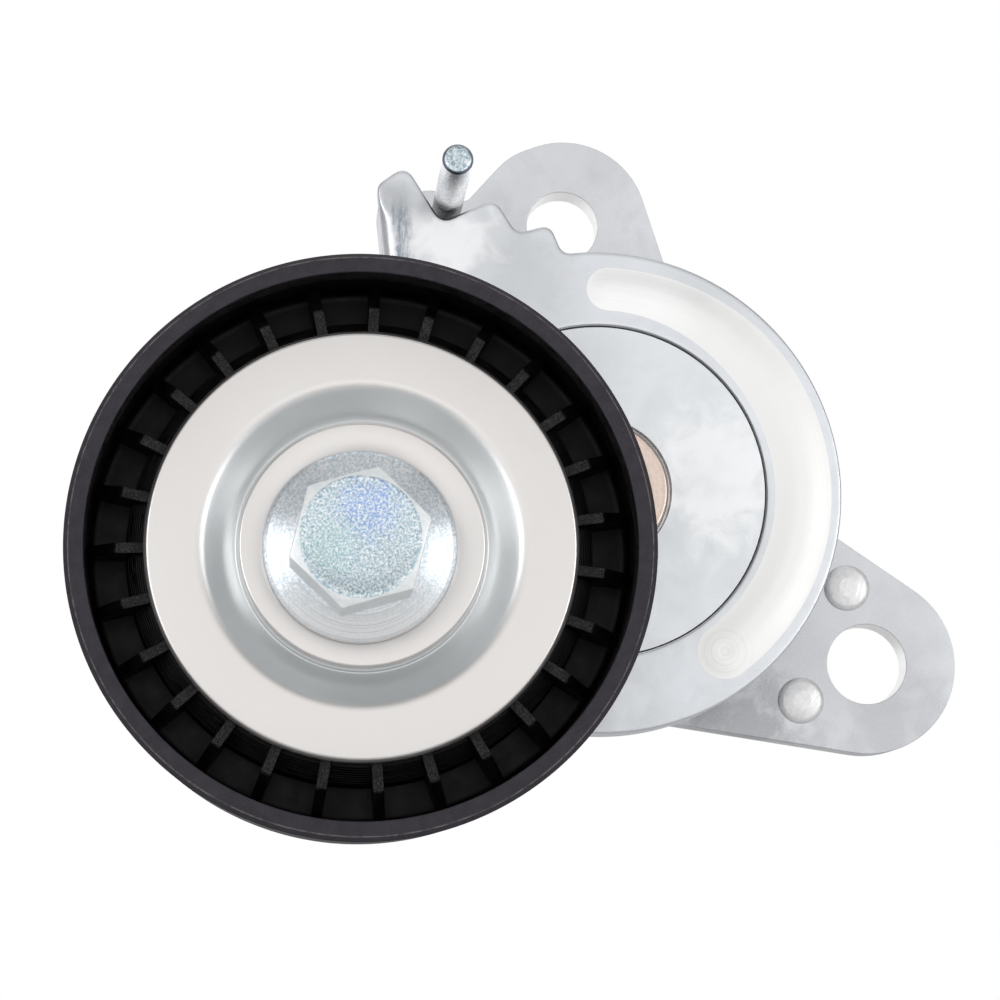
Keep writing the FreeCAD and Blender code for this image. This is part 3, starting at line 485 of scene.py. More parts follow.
def milled_steel():
    """The brushed track: whitest at its upper end, with faint rings about its lower one."""
    m = Nodes("milled_steel", Metallic=1.0)
    lower = on_circle(TRACK_MARKS_R, TRACK_START)
    upper = on_circle(TRACK_MARKS_R, TRACK_END)
    arcs = m.noise(0.18, detail=2.0, at=m.around(0, 0))
    rings = m.noise(0.30, detail=2.0, at=m.around(*lower))
    near = m.fit(m.radius(*lower), 4.2, 2.0)
    brushed = m.mix(near, arcs, rings)
    soft = m.noise(9.0)
    colour = m.mix(m.spread(soft), (0.88, 0.878, 0.872), (0.93, 0.928, 0.92))
    colour = m.mix(m.fit(m.radius(*upper), 14.0, 5.0, 0.0, 0.9), colour, WHITE)
    colour = m.mix(m.times(near, m.fit(rings, 0.48, 0.62, 0.0, 0.35)), colour, (0.70, 0.70, 0.69))
    colour = m.mix(m.fit(brushed, 0.45, 0.8, 0.0, 0.35), colour, (0.80, 0.80, 0.79))
    m.colour(colour)
    m.roughness(m.spread(soft, 0.42, 0.5))
    m.bump(brushed, 0.012)
    return m.material


def cap_steel():
    """The pressed dust cap: warm satin sheet with a very fine grain, cooler in its groove."""
    m = Nodes("cap_steel", Metallic=1.0)
    clouds = m.noise(14.0)
    grain = m.noise(0.22, detail=2.0)
    radius = m.radius(PULLEY_X, PULLEY_Z)
    groove = m.times(m.fit(radius, *GROOVE_INNER), m.fit(radius, *GROOVE_OUTER))
    tone = m.ramp(m.spread(clouds), [(0.0, (0.715, 0.69, 0.675)), (1.0, (0.76, 0.74, 0.725))])
    tone = m.mix(m.fit(grain, 0.5, 0.8, 0.0, 0.2), tone, (0.82, 0.81, 0.80))
    m.colour(m.mix(groove, tone, (0.725, 0.742, 0.748)))
    m.roughness(m.spread(clouds, 0.30, 0.36))
    m.bump(grain, 0.006)
    return m.material


def tint_hexagon(m, tone, fine, coarse):
    """Blue and green tints on the hexagon's face, and plain duller sides."""
    for x, z, reach, colour, strength in HEX_TINTS:
        near = m.maths("ADD", m.radius(PULLEY_X + x, PULLEY_Z + z), m.spread(coarse, -1.5, 1.5))
        share = m.times(m.fit(near, reach, 0.3 * reach, 0.0, strength), m.fit(fine, 0.56, 0.44))
        tone = m.mix(share, tone, colour)
    side = m.fit(m.radius(*HEX_AT), HEX_FACE - 0.05, HEX_FACE + 0.12)
    plain = m.mix(m.fit(coarse, 0.35, 0.65), (0.80, 0.85, 0.87), (0.93, 0.95, 0.96))
    m.link(m.fit(side, 0.0, 1.0, 1.0, 0.25), m.shader.inputs["Metallic"])
    return m.mix(side, tone, plain)


def speckled_steel(name, hexagon=False):
    """Finely speckled plating, for the bolt's hexagon and for the lock pin's end."""
    m = Nodes(name, Metallic=1.0)
    fine = m.noise(0.30, detail=5.0, rough=0.8)
    coarse = m.noise(1.3, detail=5.0, rough=0.75)
    stops = [(0.0, (0.22, 0.33, 0.41)), (0.5, (0.60, 0.70, 0.74)), (1.0, (0.96, 0.98, 0.99))]
    tone = m.ramp(m.fit(fine, 0.36, 0.64), stops)
    tone = m.mix(m.fit(coarse, 0.50, 0.66, 0.0, 0.6), tone, (0.44, 0.56, 0.64))
    tone = m.mix(m.fit(coarse, 0.44, 0.34, 0.0, 0.6), tone, (0.93, 0.96, 0.98))
    if hexagon:
        tone = tint_hexagon(m, tone, fine, coarse)
    m.colour(tone)
    m.roughness(m.spread(fine, 0.28, 0.42))
    m.bump(coarse, 0.03)
    m.bump(fine, 0.015)
    return m.material


def rim_plastic():
    """The rim's front face: charcoal, speckled, with a light line just inside its outer edge, partly a
    painted highlight on the chamfer's edge and partly wear.
    """
    m = Nodes("rim_plastic", Specular_IOR_Level=0.25)
    speckle = m.noise(0.16, detail=2.0, rough=0.7)
    mottle = m.noise(1.6, detail=4.0)
    wear = m.fit(m.noise(1.3, detail=5.0, rough=0.7), 0.40, 0.60, 0.15, 0.7)
    radius = m.radius(PULLEY_X, PULLEY_Z)
    # a light line at the chamfer's edge, partly a painted highlight and partly wear
    line = m.times(m.fit(radius, WORN_HIGHLIGHT_R - 0.12, WORN_HIGHLIGHT_R - 0.02),
                   m.fit(radius, WORN_HIGHLIGHT_R + 0.12, WORN_HIGHLIGHT_R + 0.02))
    tone = m.ramp(m.spread(mottle), [(0.0, (0.028, 0.024, 0.032)), (1.0, (0.040, 0.035, 0.046))])
    tone = m.mix(m.fit(speckle, 0.60, 0.74, 0.0, 0.35), tone, (0.11, 0.105, 0.12))
    m.colour(m.mix(m.times(line, wear), tone, (0.22, 0.20, 0.19)))
    m.roughness(m.spread(mottle, 0.42, 0.55))
    m.bump(speckle, 0.02)
    return m.material


def belt_plastic():
    """The belt's running surface: smooth and black, with faint rings."""
    m = Nodes("belt_plastic", Specular_IOR_Level=0.1)
    lines = m.noise(0.25, detail=2.0, at=m.along(m.depth()))
    mottle = m.noise(3.0)
    m.colour(m.mix(m.spread(mottle), (0.016, 0.015, 0.018), (0.026, 0.024, 0.028)))
    m.roughness(m.spread(lines, 0.42, 0.55))
    m.bump(lines, 0.01)
    return m.material


def inner_plastic():
    """The pulley's ribs and pockets: black plastic, toned far darker than the rim's face as painted shade,
    with grey specks painted on the ribs' fronts as highlights.
    """
    m = Nodes("inner_plastic", Specular_IOR_Level=0.16)
    speckle = m.noise(0.16, detail=2.0, rough=0.7)
    mottle = m.noise(2.2)
    rib_front = FRONT_RIB[0][1]
    # painted shade: the pockets' black is far darker than the rim's plastic
    tone = m.mix(m.fit(mottle, 0.35, 0.65), (0.0010, 0.0009, 0.0012), (0.0035, 0.0033, 0.0038))
    tone = m.mix(m.fit(speckle, 0.64, 0.76, 0.0, 0.25), tone, (0.05, 0.05, 0.05))
    # painted highlight: grey specks on the ribs' front faces
    rib_highlight = m.times(m.fit(m.depth(), rib_front - 0.25, rib_front - 0.05), m.fit(speckle, 0.42, 0.66))
    rib_highlight = m.times(rib_highlight, m.fit(mottle, 0.3, 0.6, 0.3, 0.9))
    m.colour(m.mix(rib_highlight, tone, (0.055, 0.053, 0.056)))
    m.roughness(m.spread(mottle, 0.34, 0.46))
    m.bump(speckle, 0.015)
    return m.material


def flange_steel():
    """The bolt's turned flange, whose rings stretch its highlights to either side. Its lower side is
    whitened as painted light.
    """
    m = Nodes("flange_steel", Metallic=1.0, Anisotropic=0.75, Anisotropic_Rotation=0.25)
    tangent = m.add("ShaderNodeTangent")
    tangent.direction_type = "RADIAL"
    tangent.axis = "Y"
    m.link(tangent.outputs["Tangent"], m.shader.inputs["Tangent"])
    grain = m.noise(0.32, detail=4.0, rough=0.75)
    rings = m.noise(0.26, at=m.around(*FLANGE_AT))
    # painted light: white towards the flange's lower side
    lower_light = m.fit(m.axis("Z"), *FLANGE_LOWER_LIGHT, 0.0, 0.8)
    tone = m.ramp(m.fit(grain, 0.38, 0.62), [(0.0, (0.56, 0.65, 0.72)), (1.0, (0.98, 0.99, 1.0))])
    tone = m.mix(lower_light, tone, WHITE)
    m.colour(m.mix(m.fit(rings, 0.48, 0.60, 0.0, 0.6), tone, (0.66, 0.72, 0.77)))
    m.roughness(m.spread(rings, 0.32, 0.45))
    m.bump(rings, 0.02)
    return m.material


def turned_steel(name, base, x=0.0, z=0.0, gloss=0.3, metal=1.0):
    """Metal turned on a lathe, with fine rings about an axis along Y."""
    m = Nodes(name, Metallic=metal)
    rings = m.noise(0.35, detail=2.0, at=m.around(x, z))
    spots = m.noise(0.5)
    m.colour(m.mix(m.fit(spots, 0.4, 0.7, 0.0, 0.5), base, scaled(base, 0.8)))
    m.roughness(m.spread(rings, gloss, gloss + 0.15))
    m.bump(rings, 0.01)
    return m.material


def pin_steel():
    """The lock pin's shank: satin, with black painted shade where it stands in the arm's notch."""
    m = Nodes("pin_steel", Metallic=1.0)
    drawn = m.noise(0.35, at=m.moved((0, 0, 0), (1, 12, 1)))
    spots = m.noise(0.8, detail=4.0)
    # painted shade: the shank turns black where it passes behind the arm's notch
    reach = m.maths("ADD", m.depth(), m.spread(spots, -0.6, 0.6))
    notch_shade = m.times(m.fit(reach, *NOTCH_SHADE_REAR), m.fit(reach, *NOTCH_SHADE_FRONT))
    tone = m.mix(m.fit(drawn, 0.35, 0.7), WHITE, (0.90, 0.92, 0.94))
    tone = m.mix(m.fit(spots, 0.45, 0.75, 0.0, 0.4), tone, (0.82, 0.85, 0.88))
    m.colour(m.mix(notch_shade, tone, (0.02, 0.025, 0.03)))
    m.roughness(m.spread(spots, 0.22, 0.30))
    m.bump(drawn, 0.01)
    return m.material


def plain_plastic(name, base, gloss=0.5):
    """Moulded plastic, rubber or paint, slightly mottled."""
    m = Nodes(name)
    grain = m.noise(0.25, detail=2.0)
    mottle = m.noise(2.5)
    m.colour(m.mix(m.fit(mottle, 0.35, 0.65), base, scaled(base, 0.8)))
    m.roughness(m.spread(grain, gloss, gloss + 0.12))
    m.bump(grain, 0.015)
    return m.material


def floor_paint():
    """Matt white paint."""
    m = Nodes("floor_paint", Roughness=0.8)
    mottle = m.noise(40.0, detail=2.0)
    m.colour(m.mix(m.spread(mottle), (0.90, 0.90, 0.90), (0.88, 0.88, 0.88)))
    return m.material


# ---------------------------------------------------------------- mesh helpers

def point(x, depth, z):
    """A place in metres, from a place in mm."""
    return Vector((x, -depth, z)) * MM


def on_circle(radius, degrees, x=0.0, z=0.0):
    """A point on a circle. The angle runs from +X towards +Z."""
    angle = math.radians(degrees)
    return x + radius * math.cos(angle), z + radius * math.sin(angle)


def arc_line(radius, start, end, x=0.0, z=0.0, step=1.5):
    """Points along a circle from one angle to another."""
    count = max(2, round(abs(end - start) / step))
    return [on_circle(radius, start + (end - start) * index / count, x, z) for index in range(count + 1)]


def smooth(value, low, high):
    """Rises smoothly from 0 at low to 1 at high."""
    share = min(1.0, max(0.0, (value - low) / (high - low)))
    return share * share * (3 - 2 * share)


def fillet(corners, steps=4):
    """Rounds a closed line of (x, y, radius) corners. Each corner becomes a short curve."""
    line = []
    for index, (x, y, radius) in enumerate(corners):
        if radius <= 0:
            line.append((x, y))
            continue
        here = Vector((x, y))
        before = Vector(corners[index - 1][:2]) - here
        after = Vector(corners[(index + 1) % len(corners)][:2]) - here
        half = before.angle(after) / 2
        reach = min(radius / math.tan(half), before.length * 0.49, after.length * 0.49)
        start, end = here + before.normalized() * reach, here + after.normalized() * reach
        for step in range(steps + 1):
            share = step / steps
            place = start * (1 - share) ** 2 + here * 2 * share * (1 - share) + end * share ** 2
            line.append((place.x, place.y))
    return line


def evenly(line, spacing=0.8):
    """Adds points along the long sides of a closed line."""
    points = []
    for (x, z), (next_x, next_z) in zip(line, line[1:] + line[:1]):
        wide, tall = next_x - x, next_z - z
        count = max(1, round(math.hypot(wide, tall) / spacing))
        points += [(x + wide * index / count, z + tall * index / count) for index in range(count)]
    return points


def leftward(line):
    """Normals to the left of a closed line, lengthened at its corners."""
    normals = []
    for index, here in enumerate(line):
        before = Vector(here) - Vector(line[index - 1])
        after = Vector(line[(index + 1) % len(line)]) - Vector(here)
        first, second = Vector((-before.y, before.x)).normalized(), Vector((-after.y, after.x)).normalized()
        middle = (first + second).normalized()
        normals.append(middle / max(0.6, middle.dot(first)))
    return normals


def join_rows(mesh, first, second):
    """Faces between two closed rows of vertices. A row of one vertex gives a fan."""
    count = max(len(first), len(second))
    faces = []
    for index in range(count):
        after = (index + 1) % count
        if len(first) == 1:
            corners = (first[0], second[after], second[index])
        elif len(second) == 1:
            corners = (first[index], first[after], second[0])
        else:
            corners = (first[index], first[after], second[after], second[index])
        faces.append(mesh.faces.new(corners))
    return faces


def lathe(mesh, section, x=0.0, z=0.0, segments=192):
    """Turns a closed line of (radius, depth) points about an axis along Y."""
    rings = []
    for radius, depth in section:
        if radius < 1e-6:
            rings.append([mesh.verts.new(point(x, depth, z))])
            continue
        ring = []
        for index in range(segments):
            angle = 2 * math.pi * index / segments
            place = point(x + radius * math.cos(angle), depth, z + radius * math.sin(angle))
            ring.append(mesh.verts.new(place))
        rings.append(ring)
    faces = []
    for first, second in zip(rings, rings[1:] + rings[:1]):
        if len(first) > 1 or len(second) > 1:
            faces += join_rows(mesh, first, second)
    return faces


def reach_and_depth(face, x, z):
    """How far a face's middle is from an axis along Y, and its depth."""
    middle = face.calc_center_median() / MM
    return math.hypot(middle.x - x, middle.z - z), -middle.y


def stamped_plate(mesh, lines, front, back, rounding, back_rounding=0.1):
    """A plate with its material on the left of each closed line. Its front edges are rounded."""
    margin = 0.3
    levels = [(back_rounding + margin, 0.0, back, 0.0), (back_rounding, 0.0, back, 0.0),
              (0.0, 0.0, back + back_rounding, 0.0)]
    for turn in (0.0, 22.5, 45.0, 67.5, 90.0):
        angle = math.radians(turn)
        levels.append((0.0, 1 - math.cos(angle), front, 1 - math.sin(angle)))
    levels.append((margin, 1.0, front, 0.0))
    rims = ([], [])
    for line in lines:
        normals = leftward(line)
        radii = [rounding(x, z) for x, z in line]
        rows = []
        for inset, share, level, drop in levels:
            row = []
            for (x, z), normal, radius in zip(line, normals, radii):
                move = inset + share * radius
                place = point(x + normal.x * move, level - drop * radius, z + normal.y * move)
                row.append(mesh.verts.new(place))
            rows.append(row)
        for first, second in zip(rows, rows[1:]):
            join_rows(mesh, first, second)
        for rim, row in zip(rims, (rows[0], rows[-1])):
            rim += [mesh.edges.get((row[index], row[(index + 1) % len(row)])) for index in range(len(row))]
    for rim in rims:
        bmesh.ops.triangle_fill(mesh, use_beauty=True, use_dissolve=False, edges=rim)


def new_piece(name, mesh, body, replaced=(), materials=()):
    """Turns a bmesh into an object that rides on a CAD body."""
    bmesh.ops.recalc_face_normals(mesh, faces=mesh.faces)
    data = bpy.data.meshes.new(name)
    mesh.to_mesh(data)
    mesh.free()
    for material in materials:
        data.materials.append(material)
    data.shade_smooth()
    thing = bpy.data.objects.new(name, data)
    bpy.context.scene.collection.objects.link(thing)
    if body:
        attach(thing, body)
    if replaced:
        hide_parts(*replaced)
    return thing


def bevel_edges(thing, width, degrees):
    """Rounds the edges that turn by more than an angle."""
    bevel = thing.modifiers.new("edges", "BEVEL")
    bevel.width = width * MM
    bevel.segments = 2
    bevel.limit_method = "ANGLE"
    bevel.angle_limit = math.radians(degrees)
    return bevel


def keep_flats_flat(thing):
    """Lets the large faces decide how the small ones beside them are shaded."""
    thing.modifiers.new("flat_shading", "WEIGHTED_NORMAL").weight = 80


# ---------------------------------------------------------------- pieces

def make_dust_cap(material):
    """Pressed sheet: flat hub, concave groove, a tight crest, a flat rim and a small lip."""
    low, high = corners_mm("dust_shield")
    front, rim = -low.y, (high.x - low.x) / 2
    crest = []
    for turn in range(0, 31, 3):
        angle = math.radians(turn)
        crest.append((CREST_R - CREST_ROUND * math.sin(angle), front - CREST_ROUND * (1 - math.cos(angle))))
    hollow = [crest[-1]]
    step = (crest[-1][0] - GROOVE_FOOT_R) / len(GROOVE_SLOPES)
    for slope in GROOVE_SLOPES:
        radius, depth = hollow[-1]
        hollow.append((radius - step, depth - step * math.tan(math.radians(slope))))
    foot = hollow.pop()[1]
    face = [(CAP_BORE, front, 0), (CAP_HUB_R, front, 0.35), (14.1, front - 0.4, 0.1), (14.2, foot, 0.6)]
    face += [(radius, depth, 0) for radius, depth in reversed(crest + hollow[1:])]
    face += [(rim - 0.45, front - 0.05, 0.4), (rim, front - 0.5, 0.3), (rim, front - 1.35, 0.1)]
    back = [(rim - 0.75, front - 1.35, 0.1), (rim - 0.8, front - 1.1, 0.3)]
    back += [(radius, depth - CAP_SHEET, 0) for radius, depth in crest]
    back += [(14.5, foot - 0.85, 0.2), (13.3, foot - 0.85, 0.2), (13.1, front - CAP_SHEET, 0.3),
             (CAP_BORE, front - CAP_SHEET, 0)]
    mesh = bmesh.new()
    lathe(mesh, fillet(face + back, steps=6), PULLEY_X, PULLEY_Z, segments=256)
    new_piece("dust_cap", mesh, "arm", ["dust_shield"], [material])


def add_flange(mesh, end):
    """The bolt's flange and shank. The shank, behind the seat, has the third material."""
    seat = FLANGE_SEAT
    section = fillet([(0, end, 0), (3.8, end, 0), (4.5, end + 0.8, 0.1), (4.5, seat, 0), (10.6, seat, 0.1),
                      (10.85, seat + 0.25, 0.15), (10.85, seat + 0.75, 0.2), (10.45, seat + 1.0, 0.2),
                      (7.7, seat + 1.90, 0.8), (6.4, seat + 2.05, 0), (0, seat + 2.05, 0)])
    for face in lathe(mesh, section, *FLANGE_AT, segments=256):
        if reach_and_depth(face, *FLANGE_AT)[1] < seat - 0.01:
            face.material_index = 2


def add_hexagon(mesh, crown):
    """The bolt's hexagon: flat sides, a turned chamfer and a shallow dish, in the second material."""
    segments = 240
    columns = []
    for index in range(segments):
        angle = 360.0 * index / segments
        across = (angle - HEX_TURN) % 60 - 30
        reach = HEX_FLAT / math.cos(math.radians(across))
        columns.append((math.radians(angle), reach, crown - (reach - HEX_FACE) * HEX_CHAMFER))

    def corner(angle, radius, depth):
        x, z = HEX_AT[0] + radius * math.cos(angle), HEX_AT[1] + radius * math.sin(angle)
        return mesh.verts.new(point(x, depth, z))

    rows = []
    for inset, height in HEX_FOOT:
        depth = FLANGE_SEAT + height
        rows.append([corner(angle, reach - inset, depth) for angle, reach, shoulder in columns])
    rows.append([corner(angle, reach, shoulder) for angle, reach, shoulder in columns])
    for radius, sunk in HEX_TOP:
        rows.append([corner(angle, radius, crown - sunk) for angle, reach, shoulder in columns])
    faces = []
    for first, second in zip(rows, rows[1:]):
        faces += join_rows(mesh, first, second)
    faces += [mesh.faces.new(row) for row in (rows[0], rows[-1])]
    for face in faces:
        face.material_index = 1


def make_flange_bolt(flange, top, shank):
    """The forged bolt: a hexagon on a turned flange, and its shank."""
    low, high = corners_mm("pulley_bolt")
    mesh = bmesh.new()
    add_flange(mesh, -high.y)
    add_hexagon(mesh, -low.y)
    bolt = new_piece("flange_bolt", mesh, "arm", ["pulley_bolt"], [flange, top, shank])
    bevel_edges(bolt, 0.10, 28).harden_normals = True


def make_rivet_dowels(material):
    """Two riveted dowels: a flattened dome in front of the bracket, a shank and a spigot behind it."""
    low, high = corners_mm("locating_dowels")
    places = ((high.x - DOWEL_HEAD_R, high.z - DOWEL_HEAD_R), (low.x + DOWEL_HEAD_R, low.z + DOWEL_HEAD_R))
    mesh = bmesh.new()
    for x, z in places:
        lathe(mesh, fillet(DOWEL_SECTION), x, z, segments=96)
    new_piece("rivet_dowels", mesh, "base", ["locating_dowels"], [material])


def fold_x(z):
    """The line of the tab's folded left edge."""
    return FOLD_TOP[0] + (FOLD_TOP[1] - z) * FOLD_SLOPE


def arm_rounding(x, z):
    """The stamped edges are nearly sharp, and the fold is a wide bend."""
    if x < fold_x(z) + 0.05:
        return EDGE_ROUND + FOLD_ROUND * smooth(z, *BEND_LOW) * smooth(z, *BEND_HIGH)
    return EDGE_ROUND


def make_arm(steel):
    """The pressed arm: disc, tab, round end and recess, with its skirt, hub and folded wall behind."""
    outline = [(x, z, 0) for x, z in arc_line(DISC_R, *DISC_ARC)]
    outline += [*TAB_CORNERS, (*FOLD_TOP, 1.5), (fold_x(FOLD_END), FOLD_END, 0)]
    outline += [(x, z, 0) for x, z in arc_line(END_R, *END_ARC, PULLEY_X, PULLEY_Z, step=4)]
    holes = [arc_line(RECESS_R, 0, 358.5), arc_line(BOLT_HOLE_R, 0, 352.5, PULLEY_X, PULLEY_Z, step=7.5)]
    lines = [evenly(fillet(outline, steps=8))] + [list(reversed(hole)) for hole in holes]
    mesh = bmesh.new()
    stamped_plate(mesh, lines, ARM_FRONT, ARM_BACK, arm_rounding)
    lathe(mesh, fillet(SKIRT_SECTION))
    lathe(mesh, fillet(HUB_SECTION))
    low_z, high_z = 17.5, 36.3
    wall = [(fold_x(low_z), low_z, 0), (fold_x(low_z) + FOLD_WALL, low_z, 0),
            (fold_x(high_z) + FOLD_WALL, high_z, 0), (fold_x(high_z), high_z, 0.6)]
    stamped_plate(mesh, [evenly(fillet(wall))], FOLD_WALL_FRONT, FOLD_WALL_BACK, lambda x, z: 0.1,
                  back_rounding=0.5)
    arm = new_piece("arm_plate", mesh, "arm", ["tension_arm"], [steel])
    keep_flats_flat(arm)


def track_centre(angle):
    """A point of the track's middle line, and half the track's width there."""
    grown = smooth(-angle, -TRACK_END, -TRACK_FULL)
    closed = smooth(-angle, -TRACK_CLOSING, -TRACK_START)
    return on_circle(TRACK_R - 0.1 * grown - 0.2 * closed, angle), TRACK_HALF + 0.9 * grown - 0.15 * closed


def track_way():
    """The track's outline: for each point its centre, half the width there, and its heading outwards."""
    sweep = TRACK_END - TRACK_START
    angles = [TRACK_START + sweep * index / TRACK_STEPS for index in range(TRACK_STEPS + 1)]
    way = [(*track_centre(angle), angle) for angle in angles]
    way += [(*track_centre(TRACK_END), TRACK_END + turn) for turn in range(5, 180, 5)]
    way += [(*track_centre(angle), angle + 180) for angle in reversed(angles)]
    way += [(*track_centre(TRACK_START), TRACK_START + turn) for turn in range(185, 360, 5)]
    return way


def make_milled_track(milled):
    """The raised track along the disc, slightly crowned, with round ends and a dimple at the lower one."""
    way = track_way()
    dimple_x, dimple_z = way[0][0]
    shares = [index / TRACK_ROWS for index in range(TRACK_ROWS + 1)]
    top, bottom = [(share, False) for share in shares], [(share, True) for share in reversed(shares)]
    mesh = bmesh.new()
    rows = []
    for share, sunk in top + bottom:
        row = []
        for (centre_x, centre_z), half, heading in way:
            x, z = on_circle(half * share, heading, centre_x, centre_z)
            rise = TRACK_RISE * smooth(1 - share, 0.0, 0.9)
            rise -= DIMPLE_DEEP * smooth(math.hypot(x - dimple_x, z - dimple_z), DIMPLE_R, 0.2)
            depth = ARM_FRONT - TRACK_SUNK if sunk else ARM_FRONT - 0.01 + rise
            row.append(mesh.verts.new(point(x, depth, z)))
        rows.append(row)
    for first, second in zip(rows, rows[1:]):
        join_rows(mesh, first, second)
    bmesh.ops.remove_doubles(mesh, verts=mesh.verts, dist=0.002 * MM)
    bmesh.ops.dissolve_degenerate(mesh, dist=0.001 * MM, edges=mesh.edges)
    new_piece("milled_track", mesh, "arm", materials=[milled])


def add_rib(mesh, outline, degrees):
    """A radial rib, drawn by its (radius, depth) corners, in the third material."""
    angle = math.radians(degrees)
    out = Vector((math.cos(angle), 0, math.sin(angle)))
    across = Vector((-math.sin(angle), 0, math.cos(angle)))
    ends = []
    for side in (-RIB_HALF, RIB_HALF):
        end = []
        for radius, depth in outline:
            place = Vector((PULLEY_X, -depth, PULLEY_Z)) + out * radius + across * side
            end.append(mesh.verts.new(place * MM))
        ends.append(end)
    faces = [mesh.faces.new(ends[0]), mesh.faces.new(list(reversed(ends[1])))]
    for index in range(len(outline)):
        after = (index + 1) % len(outline)
        faces.append(mesh.faces.new((ends[0][index], ends[1][index], ends[1][after], ends[0][after])))
    for face in faces:
        face.material_index = 2


def make_pulley(face, belt, inside):
    """The moulded pulley: a collar with fine steps, a web, the rim, and ribs before and behind the web."""
    collar = [(SHOULDER_BORE, COLLAR_FRONT, 0.2), (COLLAR_R, COLLAR_FRONT, 0)]
    for step in range(STAIR_COUNT):
        radius, depth = COLLAR_R + STAIR_WIDE * step, COLLAR_FRONT - STAIR_DEEP * step
        collar += [(radius, depth - STAIR_DEEP, 0), (radius + STAIR_WIDE, depth - STAIR_DEEP, 0)]
    section = [(SEAT_BORE, 32.0, 0), (SEAT_BORE, 44.0, 0), (SHOULDER_BORE, 44.0, 0), *collar, *RIM_SECTION]
    mesh = bmesh.new()
    for ring_face in lathe(mesh, fillet(section), PULLEY_X, PULLEY_Z, segments=324):
        reach, depth = reach_and_depth(ring_face, PULLEY_X, PULLEY_Z)
        if reach > 31.0 and depth > RIM_FRONT - 0.3:
            ring_face.material_index = 0
        else:
            ring_face.material_index = 1 if reach > 32.2 else 2
    for index in range(RIB_COUNT):
        for outline in (FRONT_RIB, REAR_RIB):
            add_rib(mesh, outline, RIB_PHASE + 360.0 * index / RIB_COUNT)
    pulley = new_piece("ribbed_pulley", mesh, "pulley", ["pulley_body"],
                       [face, belt, inside])
    bevel_edges(pulley, 0.12, 40)
    keep_flats_flat(pulley)


def make_lock_pin(side, edge, end):
    """The lock pin: a plain shank, and a front end with a turned edge whose chamfer ring is darkened as
    painted shade.
    """
    low, high = corners_mm("lock_pin")
    x, z, radius, tip = (low.x + high.x) / 2, (low.z + high.z) / 2, (high.x - low.x) / 2, -low.y
    section = [(0, 0), (radius - 0.3, 0), (radius, 0.35), (radius, tip - 0.45), (radius - 0.08, tip - 0.18),
               (radius - 0.3, tip), (radius - 0.75, tip - 0.02), (0, tip - 0.05)]
    mesh = bmesh.new()
    for face in lathe(mesh, section, x, z, segments=96):
        reach, depth = reach_and_depth(face, x, z)
        if depth > tip - 0.44:
            face.material_index = 1 if reach > radius - 0.3 else 2
    new_piece("pull_pin", mesh, "lock_pin", ["lock_pin"], [side, edge, end])


def make_coil(material):
    """The spring's wire, wound on a helix. It is not attached to the arm and does not turn with it."""
    wire, coil, rear, pitch, turns = 1.5, 18.4, 7.65, 3.3, 2.75
    steps, sides = 240, 20
    mesh = bmesh.new()
    rows = []
    for step in range(steps + 1):
        share = step / steps
        angle = -2 * math.pi * turns * share
        out = Vector((math.cos(angle), 0, math.sin(angle)))
        centre = out * coil + Vector((0, -(rear + pitch * turns * share), 0))
        reach = wire if 0 < step < steps else wire - 0.15
        row = []
        for side in range(sides):
            around = 2 * math.pi * side / sides
            place = centre + out * reach * math.cos(around) + Vector((0, reach * math.sin(around), 0))
            row.append(mesh.verts.new(place * MM))
        rows.append(row)
    for first, second in zip(rows, rows[1:]):
        join_rows(mesh, first, second)
    mesh.faces.new(rows[0])
    mesh.faces.new(list(reversed(rows[-1])))
    spring = new_piece("coil_spring", mesh, None, ["torsion_spring"], [material])
    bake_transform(spring)


# ---------------------------------------------------------------- CAD nodes that stay

def soften(node, width):
    """Rounds a CAD node's sharp edges a little, with modifiers only."""
    thing = nodes[node]
    weld = thing.modifiers.new("weld", "WELD")
    weld.merge_threshold = 0.002 * MM
    flat = thing.modifiers.new("flat", "DECIMATE")
    flat.decimate_type = "DISSOLVE"
    flat.angle_limit = math.radians(0.6)
    bevel_edges(thing, width, 35.0)
    keep_flats_flat(thing)


def dress(material, *names):
    """Gives CAD nodes a material of their own."""
    for name in names:
        slots = nodes[name].data.materials
        slots.clear()
        slots.append(material)


# ---------------------------------------------------------------- the scene

make_camera()
make_world()
make_floor(floor_paint())
for box in SOFT_BOXES:
    soft_box(*box)

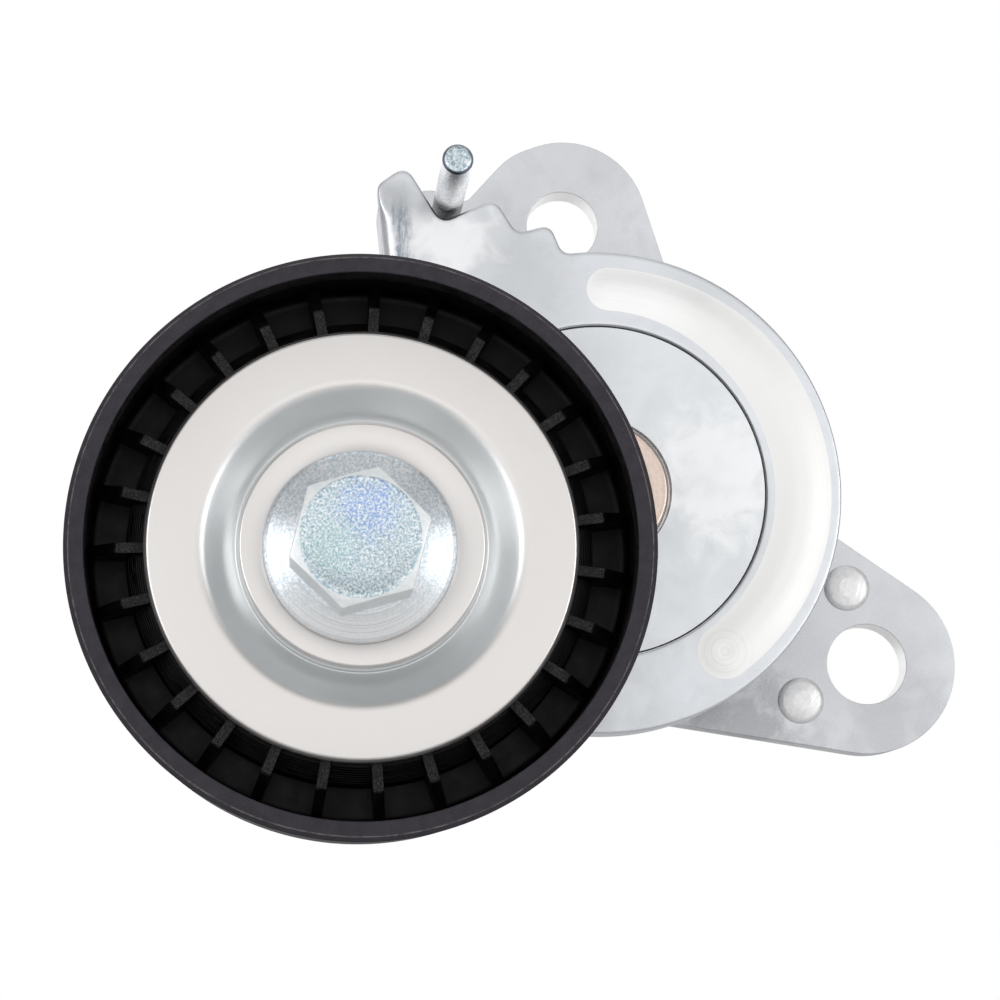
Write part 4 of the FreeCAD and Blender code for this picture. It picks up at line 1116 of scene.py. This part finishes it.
bracket_steel = plated_steel("zinc_plate", (0.665, 0.68, 0.705), 0.08, BRACKET_STAINS_AND_SHADE, highlighted_bores=BORE_HIGHLIGHTS)
pale_steel = plated_steel("pale_zinc_plate", (0.76, 0.785, 0.805), 0.05, PLATE_STAINS)
arm_steel = plated_steel("arm_zinc_plate", (0.73, 0.75, 0.78), 0.07, ARM_STAINS, fold=True)
track_steel = milled_steel()
sheet_steel = cap_steel()
shank_steel = turned_steel("shank_steel", (0.5, 0.5, 0.5), PULLEY_X, PULLEY_Z)
rivet_steel = turned_steel("rivet_steel", (0.93, 0.93, 0.935), gloss=0.42, metal=0.75)
# the chamfer ring of the pin's end, darkened as painted shade
pin_chamfer_shade = turned_steel("pin_chamfer_shade", (0.28, 0.32, 0.38))
sleeve_steel = turned_steel("sleeve_steel", (0.60, 0.60, 0.61), PULLEY_X, PULLEY_Z)

dress(bracket_steel, "base_bracket", "spring_case", "spring_anchor", "spring_driver", "thread_boss",
      "stop_peg")
dress(pale_steel, "retaining_plate")
dress(sheet_steel, "rear_shield")
dress(turned_steel("pivot_steel", (0.80, 0.66, 0.58)), "pivot_shaft")
dress(sleeve_steel, "spacer_sleeve", "bearing_inner_ring", "bearing_outer_ring", "bearing_balls")
dress(turned_steel("bronze", (0.62, 0.45, 0.24)), "pivot_bush")
dress(plain_plastic("wear_plastic", (0.30, 0.29, 0.26)), "friction_washer", "damping_sleeve", "ball_cage")
dress(plain_plastic("seal_rubber", (0.03, 0.03, 0.03)), "front_seal", "rear_seal")

make_arm(arm_steel)
make_milled_track(track_steel)
make_dust_cap(sheet_steel)
make_flange_bolt(flange_steel(), speckled_steel("bolt_steel", hexagon=True), shank_steel)
make_rivet_dowels(rivet_steel)
make_pulley(rim_plastic(), belt_plastic(), inner_plastic())
make_lock_pin(pin_steel(), pin_chamfer_shade, speckled_steel("pin_end"))
make_coil(plain_plastic("spring_coat", (0.06, 0.06, 0.065), 0.35))

for name in nodes:
    nodes[name].data.shade_smooth()
for name, width in SOFTENED:
    soften(name, width)

bpy.context.scene.view_settings.view_transform = "Standard"
